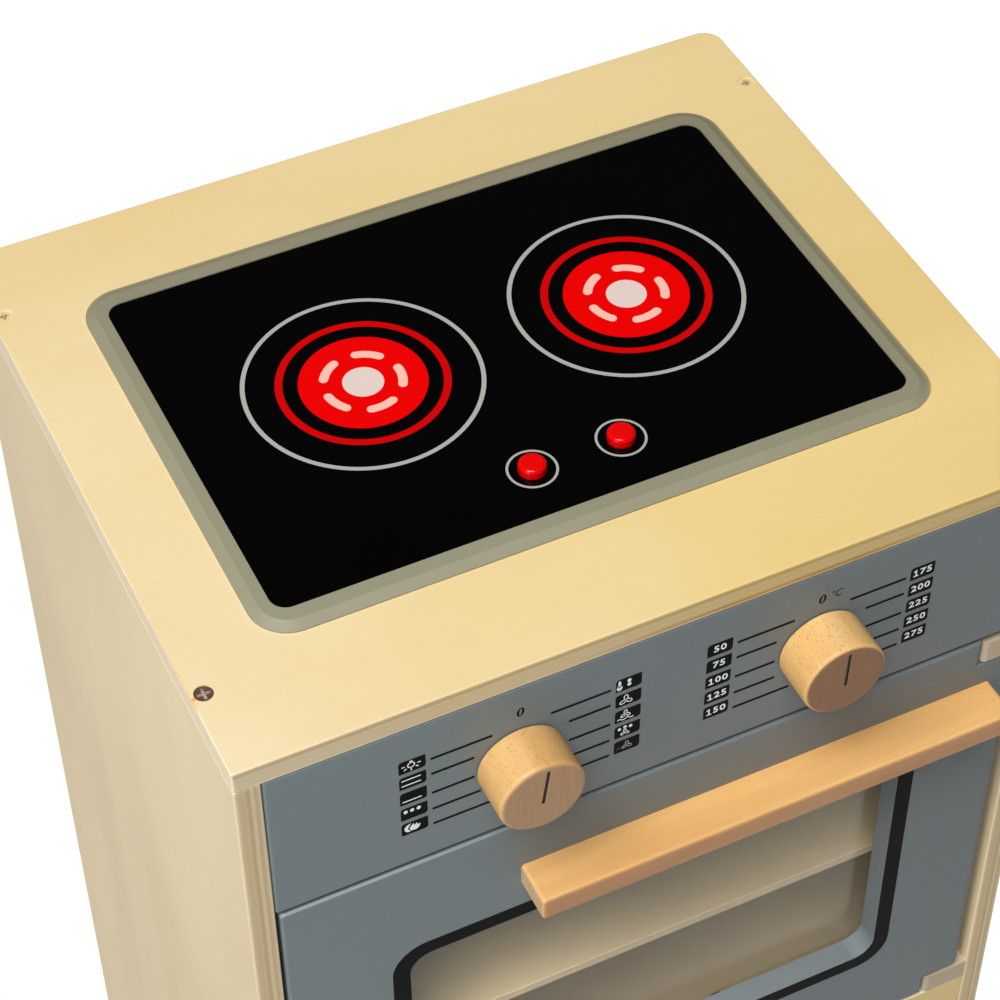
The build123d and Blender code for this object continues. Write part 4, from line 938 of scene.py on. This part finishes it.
# %% [markdown]
# ### Numbers and letters
# The right-hand dial is marked in degrees. Numbers are text objects in Blender's own font, made a
# little bolder by an offset of their outline, filled, given the film's thickness and turned into a
# mesh. They lie on top of the black boxes. The real figures stand at an even pitch, and their one has
# a flag and a foot that the font's one lacks, so that figure is drawn with the pictograms below. So
# are the two slanted black zeros above the knobs, which have thick sides and thin ends.

# %% Numbers on the dial
def lettering(name, words, finish, depth):
    """Several words as one film: words are (text, x, z, size, widen, bolder, slant) in millimetres."""
    parts = []
    for text, x, z, size, widen, bolder, slant in words:
        curve = bpy.data.curves.new(name, "FONT")
        curve.body = text
        curve.size = size * MM
        curve.align_x = "CENTER"
        curve.align_y = "CENTER"
        curve.offset = bolder * MM
        curve.shear = slant
        curve.extrude = INK / 2
        curve.resolution_u = 3
        letter = put(name, curve)
        bpy.context.view_layer.update()
        mesh = bpy.data.meshes.new_from_object(letter.evaluated_get(bpy.context.evaluated_depsgraph_get()))
        bpy.data.objects.remove(letter)
        mesh.transform(Matrix.Translation((x * MM, z * MM, INK / 2)) @ Matrix.Diagonal((widen, 1, 1, 1)))
        parts.append(mesh)
    merge_films(name, parts, finish, depth)


def merge_films(name, meshes, finish, depth, body="cabinet"):
    """Joins flat films into one upright piece on the front, with its ink."""
    verts, faces = [], []
    for mesh in meshes:
        base = len(verts)
        verts += [tuple(v.co) for v in mesh.vertices]
        faces += [[base + i for i in p.vertices] for p in mesh.polygons]
    joined = bpy.data.meshes.new(name)
    joined.from_pydata(verts, [], faces)
    joined.transform(stand_up(depth))
    joined.materials.append(finish.material)
    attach(put(name, joined), body)
    print(name, "faces:", len(joined.polygons))


top_mm = panel_top / MM
dial_numbers = [["50", "75", "100", "125", "150"], ["175", "200", "225", "250", "275"]]
PITCH = 3.4
number_words, ones = [], []
for x, column in zip(column_x[2:], dial_numbers):
    for text, drop in zip(column, row_drop):
        for place, digit in enumerate(text):
            digit_x = x + (place - (len(text) - 1) / 2) * PITCH
            if digit == "1":
                ones.append((digit_x, top_mm - drop))
            else:
                number_words.append((digit, digit_x, top_mm - drop, 5.3, 1.12, 0.11, 0.0))
lettering("panel_dial_numbers", number_words, white_ink, front_face - INK)
celsius = ("°C", 77.4, top_mm - 17.2, 6.0, 0.95, -0.02, 0.25)
lettering("panel_celsius_mark", [celsius], line_ink, front_face)

# %% [markdown]
# ### Pictograms
# The left-hand dial has the plain signs that ovens share: a lamp, shelves of heat drawn as lines,
# dots for the grill, a flame, a thermometer and a fan. They are drawn as strokes and dots in
# millimetres round each box's middle. A stroke is a line with width, so its outline is found by
# stepping to both sides of it, and a closed stroke becomes a ring. The polygon is then filled and
# given the film's thickness.

# %% Helpers for strokes and dots
def signed_area(loop):
    """Twice the area of a loop of points, positive when it runs anticlockwise."""
    following = loop[1:] + loop[:1]
    return sum(ax * bz - bx * az for (ax, az), (bx, bz) in zip(loop, following))


def film(outline, holes=()):
    """A closed film from a flat outline and its holes, in millimetres."""
    loops = [list(outline)] + [list(h) for h in holes]
    points = [p for loop in loops for p in loop]
    faces = tessellate_polygon([[Vector((px, pz, 0)) for px, pz in loop] for loop in loops])
    count = len(points)
    verts = [(px * MM, pz * MM, 0) for px, pz in points] + [(px * MM, pz * MM, INK) for px, pz in points]
    made = []
    for a, b, c in faces:
        if signed_area([points[a], points[b], points[c]]) < 0:
            b, c = c, b
        made += [(a + count, b + count, c + count), (a, c, b)]
    base = 0
    for number, loop in enumerate(loops):
        outward = (signed_area(loop) > 0) == (number == 0)
        for i in range(len(loop)):
            p, q = base + i, base + (i + 1) % len(loop)
            if not outward:
                p, q = q, p
            made.append((p, q, q + count, p + count))
        base += len(loop)
    mesh = bpy.data.meshes.new("film")
    mesh.from_pydata(verts, [], made)
    return mesh


def dot(x, z, rx, rz=None, count=20):
    """A filled round or oval dot."""
    rz = rz or rx
    return film([(x + rx * math.cos(2 * math.pi * i / count), z + rz * math.sin(2 * math.pi * i / count))
                 for i in range(count)])


def stroke(points, width, closed=False):
    """A line with width. Closed strokes become rings."""
    sides = ([], [])
    last = len(points) - 1
    for i, (px, pz) in enumerate(points):
        before = points[i - 1] if i or closed else points[i]
        after = points[(i + 1) % len(points)] if i < last or closed else points[i]
        dx, dz = after[0] - before[0], after[1] - before[1]
        size = math.hypot(dx, dz) or 1.0
        nx, nz = -dz / size * width / 2, dx / size * width / 2
        sides[0].append((px + nx, pz + nz))
        sides[1].append((px - nx, pz - nz))
    if closed:
        narrow, wide = sorted(sides, key=lambda side: abs(signed_area(side)))
        return film(wide, [narrow])
    return film(sides[0] + sides[1][::-1])


def loop_points(x, z, rx, rz, lean=0.0, count=18):
    """Points on a leaning ellipse."""
    found = []
    for i in range(count):
        a = 2 * math.pi * i / count
        u, v = rx * math.cos(a), rz * math.sin(a)
        found.append((x + u * math.cos(lean) - v * math.sin(lean),
                      z + u * math.sin(lean) + v * math.cos(lean)))
    return found


def fan(x, z, size, width):
    """Three looped blades round a hub."""
    blades = []
    for k in range(3):
        a = math.radians(90 + 120 * k)
        middle = (x + size * 0.55 * math.cos(a), z + size * 0.55 * math.sin(a))
        blades.append(stroke(loop_points(*middle, size * 0.50, size * 0.30, a), width, True))
    return blades + [dot(x, z, width * 0.9)]


def slanted_zero(x, z):
    """An italic zero with thick sides and a thin top and bottom."""
    rims = []
    for rx, rz in ((1.75, 2.65), (0.62, 2.20)):
        rims.append([(px + 0.14 * (pz - z), pz) for px, pz in loop_points(x, z, rx, rz, 0.0, 28)])
    return film(rims[0], [rims[1]])


def sign(x, z, corners):
    """A filled shape from its corners, measured from a middle."""
    return film([(x + dx, z + dz) for dx, dz in corners])


print("stroke helpers ready")

# %% Ones and zeros
FIGURE_ONE = [(-1.25, -2.0), (1.35, -2.0), (1.35, -1.45), (0.40, -1.45), (0.40, 2.0), (-0.20, 2.0),
              (-1.15, 1.35), (-1.15, 0.70), (-0.30, 1.15), (-0.30, -1.45), (-1.25, -1.45)]
zero_films = [slanted_zero(-73.2, top_mm - 16.4), slanted_zero(70.9, top_mm - 17.4)]
merge_films("panel_zero_marks", zero_films, black_ink, front_face)
one_films = [sign(x, z, FIGURE_ONE) for x, z in ones]
merge_films("panel_dial_ones", one_films, white_ink, front_face - INK)

# %% Pictograms of the left-hand dial
def at(column, row):
    """The middle of a label box, a little left of the box's own middle as in the real print."""
    return column_x[column] - 0.4, top_mm - row_drop[row]


def round_dots(x, z, places, size):
    """Dots that look round from above: taller than wide on the upright panel."""
    return [dot(x + dx, z + dz, size, size * 1.15) for dx, dz in places]


signs = []
x, z = at(0, 0)
signs.append(stroke(loop_points(x, z + 0.4, 1.55, 1.55), 0.55, True))
signs.append(sign(x, z, [(-0.75, 1.8), (0.75, 1.8), (0.65, 3.2), (-0.65, 3.2)]))
for angle in (180, 222, 270, 318, 0):
    a = math.radians(angle)
    signs.append(stroke([(x + r * math.cos(a) * 1.25, z + 0.4 + r * math.sin(a)) for r in (2.3, 3.5)], 0.55))
x, z = at(0, 1)
signs += [stroke([(x - 4.7, z + h), (x + 4.1, z + h)], 0.6) for h in (1.7, -1.7)]
x, z = at(0, 2)
signs.append(stroke([(x - 4.7, z - 1.9), (x + 4.1, z - 1.9)], 0.6))
x, z = at(0, 3)
signs += round_dots(x, z, [(d, 1.4) for d in (-3.5, -0.5, 2.5)], 0.95)
x, z = at(0, 4)
signs.append(sign(x, z, [(-4.2, -1.2), (-4.5, 0.6), (-3.4, 2.2), (-1.4, 3.0), (-2.3, 1.3), (-2.9, 0.2),
                         (-2.5, -1.3), (-1.5, -2.3), (-3.1, -2.3)]))
signs.append(sign(x, z, [(-1.4, -2.0), (-2.2, -0.4), (-1.4, 0.9), (-0.2, 2.4), (0.1, 0.9), (1.5, 2.0),
                         (1.6, 0.6), (2.9, 0.9), (2.6, -0.9), (1.2, -2.2)]))
x, z = at(1, 0)
signs += round_dots(x, z, [(-4.0, -1.5)], 1.35)
signs.append(sign(x, z, [(-4.65, -1.2), (-3.35, -1.2), (-3.35, 2.5), (-4.0, 3.1), (-4.65, 2.5)]))
signs += round_dots(x, z, [(0.6, 1.5), (0.6, -0.9)], 0.95)
x, z = at(1, 1)
signs += fan(x - 0.7, z - 0.4, 3.1, 0.5)
x, z = at(1, 2)
signs += fan(x - 0.7, z + 0.7, 2.4, 0.5)
ripple = [(x - 4.6 + 0.55 * i, z - 2.3 + 0.45 * math.sin(i * 0.9)) for i in range(15)]
signs.append(stroke(ripple, 0.55))
x, z = at(1, 3)
signs += round_dots(x, z, ((-3.4, 1.7), (-0.7, 2.2), (2.0, 1.7)), 0.85)
signs += fan(x - 0.7, z - 1.2, 2.1, 0.45)
signs.append(stroke([(x - 0.7, z + 1.9), (x - 0.6, z + 0.2)], 0.6))
merge_films("panel_pictograms", signs, white_ink, front_face - INK)
x, z = at(1, 4)
merge_films("panel_dim_fan", fan(x + 0.5, z - 0.2, 2.4, 0.5), grey_ink, front_face - INK)
wave = stroke([(x - 4.7, z - 1.6), (x - 3.5, z - 0.5), (x - 2.3, z - 1.7)], 0.5)
merge_films("panel_dim_wave", [wave], brown_ink, front_face - INK)

# %% [markdown]
# ## Rings and dashes on the hob
# A ring is the surface between two circles, which keeps its line the same width all the way round. A
# disc is a circle filled whole, so one function makes both trees. The last tree draws a rounded dash
# and bends it: a point's distance along the dash becomes an angle and its distance across becomes a
# radius. Five of those, turned evenly, are set on every burner.

# %% The trees for rings, discs and dashes
def round_tree(name, sides, resolution):
    """Rings or discs: a circle for each side, half a line outside (+1) or inside (-1) the radius."""
    tree, start, end = new_tree(name, [
        ("Radius", "NodeSocketFloat", 0.05), ("Line", "NodeSocketFloat", 0.0),
        ("Thickness", "NodeSocketFloat", INK), ("Ink", "NodeSocketMaterial", None)])
    rims = step(tree, "GeometryNodeJoinGeometry")
    for side in sides:
        size = step(tree, "ShaderNodeMath", [(start.outputs["Line"], 0), (start.outputs["Radius"], 2)],
                    operation="MULTIPLY_ADD")
        size.inputs[1].default_value = 0.5 * side
        rim = step(tree, "GeometryNodeCurvePrimitiveCircle", [(size.outputs[0], "Radius")])
        rim.inputs["Resolution"].default_value = resolution
        tree.links.new(rim.outputs[0], rims.inputs[0])
    print_on_points(tree, rims.outputs[0], start, end)
    return tree


def dash_tree():
    """A ring of bent dashes on each point."""
    tree, start, end = new_tree("printed_dashes", [
        ("Radius", "NodeSocketFloat", 0.0178), ("Count", "NodeSocketInt", 5),
        ("Length", "NodeSocketFloat", 0.015), ("Width", "NodeSocketFloat", 0.004),
        ("Start Angle", "NodeSocketFloat", 0.0), ("Thickness", "NodeSocketFloat", INK),
        ("Ink", "NodeSocketMaterial", None)])

    def calculate(operation, a, b=None):
        node = step(tree, "ShaderNodeMath", operation=operation)
        for i, value in enumerate((a, b)):
            if isinstance(value, bpy.types.NodeSocket):
                tree.links.new(value, node.inputs[i])
            elif value is not None:
                node.inputs[i].default_value = value
        return node.outputs[0]

    outline = step(tree, "GeometryNodeCurvePrimitiveQuadrilateral",
                   [(start.outputs["Length"], "Width"), (start.outputs["Width"], "Height")])
    half = calculate("MULTIPLY", start.outputs["Width"], 0.49)
    fine = step(tree, "GeometryNodeSubdivideCurve", [(fillet(tree, outline.outputs[0], half), "Curve")])
    fine.inputs["Cuts"].default_value = 7
    place = step(tree, "GeometryNodeInputPosition")
    parts = step(tree, "ShaderNodeSeparateXYZ", [(place.outputs[0], 0)])
    angle = calculate("DIVIDE", parts.outputs["X"], start.outputs["Radius"])
    far = calculate("ADD", parts.outputs["Y"], start.outputs["Radius"])
    bent = step(tree, "ShaderNodeCombineXYZ", [(calculate("MULTIPLY", far, calculate("SINE", angle)), "X"),
                                               (calculate("MULTIPLY", far, calculate("COSINE", angle)), "Y")])
    bend = step(tree, "GeometryNodeSetPosition", [(fine.outputs[0], "Geometry"),
                                                  (bent.outputs[0], "Position")])
    fill = step(tree, "GeometryNodeFillCurve", [(bend.outputs[0], 0)])
    film = thicken(tree, fill.outputs[0], start.outputs["Thickness"])
    middle = step(tree, "GeometryNodePoints", [(start.outputs["Count"], "Count")])
    number = step(tree, "GeometryNodeInputIndex")
    pitch = calculate("DIVIDE", 2 * math.pi, start.outputs["Count"])
    turn = step(tree, "ShaderNodeCombineXYZ", [(calculate("MULTIPLY", number.outputs[0], pitch), "Z")])
    ring = step(tree, "GeometryNodeInstanceOnPoints", [(middle.outputs[0], "Points"), (film, "Instance"),
                (turn.outputs[0], "Rotation")])
    whole_turn = step(tree, "ShaderNodeCombineXYZ", [(start.outputs["Start Angle"], "Z")])
    copies = step(tree, "GeometryNodeInstanceOnPoints", [(start.outputs["Geometry"], "Points"),
                  (ring.outputs[0], "Instance"), (whole_turn.outputs[0], "Rotation")])
    close_tree(tree, copies.outputs[0], start, end)
    return tree


rings = round_tree("printed_rings", (1, -1), 96)
discs = round_tree("printed_discs", (0,), 72)
dashes = dash_tree()
print("ring, disc and dash trees ready")

# %% [markdown]
# The burners sit behind the hob's middle and the buttons in front of it. Each burner has a grey ring,
# a red ring and a red disc with a bright spot and five dashes. The spot and dashes lie on the disc,
# one film higher.

# %% Prints on the hob
well_low, well_high = edges_of("light_wells")
well_radius = (well_high.y - well_low.y) / 2
burner_y = (well_low.y + well_high.y) / 2
burner_x = [well_low.x + well_radius, well_high.x - well_radius]
burner_points = [(x, burner_y, plate_top) for x in burner_x]
raised_points = [(x, burner_y, plate_top + INK) for x in burner_x]
button_points = []
for node in ("button_left", "button_right"):
    low, high = edges_of(node)
    button_points.append(((low.x + high.x) / 2, (low.y + high.y) / 2, plate_top))
ring_sizes = [("burner_grey_rings", burner_points, grey_ink, 53.9, 2.1),
              ("button_grey_rings", button_points, grey_ink, 11.0, 1.15),
              ("burner_red_rings", burner_points, ring_red, 37.8, 3.5)]
for name, points, finish, radius, line in ring_sizes:
    run_tree(name, rings, points, finish, {"Radius": radius * MM, "Line": line * MM})
run_tree("burner_red_discs", discs, burner_points, disc_red, {"Radius": 29.2 * MM})
run_tree("burner_bright_spots", discs, raised_points, lit_pink, {"Radius": 9.4 * MM})
run_tree("burner_bright_dashes", dashes, raised_points, dash_pink,
         {"Radius": 17.8 * MM, "Count": 5, "Length": 15.2 * MM, "Width": 4.2 * MM,
          "Start Angle": math.radians(-30)})

# %% [markdown]
# ## The window's printed border
# A black band frames the opening on the door's face. Its inner edge is the opening itself and its
# outer edge runs parallel, eight and a half millimetres out. It rides on the door.

# %% Window border
def rounded_rectangle(x0, x1, z0, z1, radius, count=14):
    """Points round a rectangle with rounded corners, in millimetres."""
    found = []
    for cx, cz, a0 in ((x1 - radius, z1 - radius, 0), (x0 + radius, z1 - radius, 90),
                       (x0 + radius, z0 + radius, 180), (x1 - radius, z0 + radius, 270)):
        for i in range(count + 1):
            a = math.radians(a0 + 90 * i / count)
            found.append((cx + radius * math.cos(a), cz + radius * math.sin(a)))
    return found


pane_low, pane_high = edges_of("window_pane")
PANE_MARGIN = 11.0
BAND = 8.6
OPENING_CORNER, BAND_CORNER = 11.0, 17.5
opening = (pane_low.x / MM + PANE_MARGIN, pane_high.x / MM - PANE_MARGIN,
           pane_low.z / MM + PANE_MARGIN, pane_high.z / MM - PANE_MARGIN)
widened = [edge + way * BAND for edge, way in zip(opening, (-1, 1, -1, 1))]
outer = rounded_rectangle(*widened, BAND_CORNER)
inner = rounded_rectangle(*opening, OPENING_CORNER)
merge_films("window_border", [film(outer, [inner])], border_ink, front_face, "door")
print("opening in mm:", [round(v, 1) for v in opening])

# %% [markdown]
# ## Floor and light
# A plain pale floor and soft light from the upper left, as in a small photo studio. A broad sun lamp
# gives the even part of the light. Two square lamps nearer the object, one high above its left side
# and one low at its front left corner, give the part that falls off to the right. The lamps fill only
# a part of the sky, so the gloss plate still mirrors the dark of the room. The floor is grey paper to
# every ray but the camera's, which sees it white: that gives the photograph's plain white ground, and
# throws no more light up at the fronts than paper would. It also hides the object's shadow.

# %% Floor and lights
floor_mesh = bpy.data.meshes.new("studio_floor")
floor_mesh.from_pydata([(-9, -9, 0), (9, -9, 0), (9, 9, 0), (-9, 9, 0)], [], [(0, 1, 2, 3)])
floor = put("studio_floor", floor_mesh)
floor_finish = Finish("floor_pale_paper", Roughness=0.9, Specular_IOR_Level=0.0)
paper = floor_finish.noise(floor_finish.place(), 3.0, 2.0, 0.5)
floor_finish.colour(linear_ramp(floor_finish, paper, ((0.54, 0.54, 0.53, 1), (0.50, 0.50, 0.49, 1))))
white = floor_finish.tree.nodes.new("ShaderNodeEmission")
white.inputs["Strength"].default_value = 1.05
seen = floor_finish.tree.nodes.new("ShaderNodeLightPath")
pick = floor_finish.tree.nodes.new("ShaderNodeMixShader")
floor_finish.join(seen.outputs["Is Camera Ray"], pick.inputs[0])
floor_finish.join(floor_finish.shader.outputs[0], pick.inputs[1])
floor_finish.join(white.outputs[0], pick.inputs[2])
floor_finish.join(pick.outputs[0], floor_finish.output.inputs["Surface"])
floor_mesh.materials.append(floor_finish.material)


def lamp(name, kind, power, place, towards):
    """A lamp of any kind that shines along a direction."""
    data = bpy.data.lights.new(name, kind)
    data.energy = power
    made = put(name, data)
    made.location = place
    made.rotation_mode = "QUATERNION"
    made.rotation_quaternion = towards.to_track_quat("-Z", "Y")
    return data


def soft_box(name, place, aim, power, size):
    """A square lamp near the object: its light falls off from left to right."""
    lamp(name, "AREA", power, place, Vector(aim) - Vector(place)).size = size


sun = lamp("key_light", "SUN", 2.2, (0, 0, 0), Vector((0.30, 0.36, -0.88)).normalized())
sun.angle = math.radians(30)
soft_box("upper_left_box", (-1.10, -0.55, 2.30), (0.0, 0.0, 0.6), 17.0, 0.8)
soft_box("left_box", (-1.35, -0.85, 0.85), (-0.05, -0.15, 0.45), 4.5, 0.7)
world = bpy.data.worlds.new("studio_room")
world.use_nodes = True
world.node_tree.nodes["Background"].inputs[0].default_value = (0.95, 0.97, 1.0, 1)
world.node_tree.nodes["Background"].inputs[1].default_value = 0.08
bpy.context.scene.world = world
bpy.context.scene.view_settings.view_transform = "Standard"
bpy.context.scene.view_settings.look = "None"
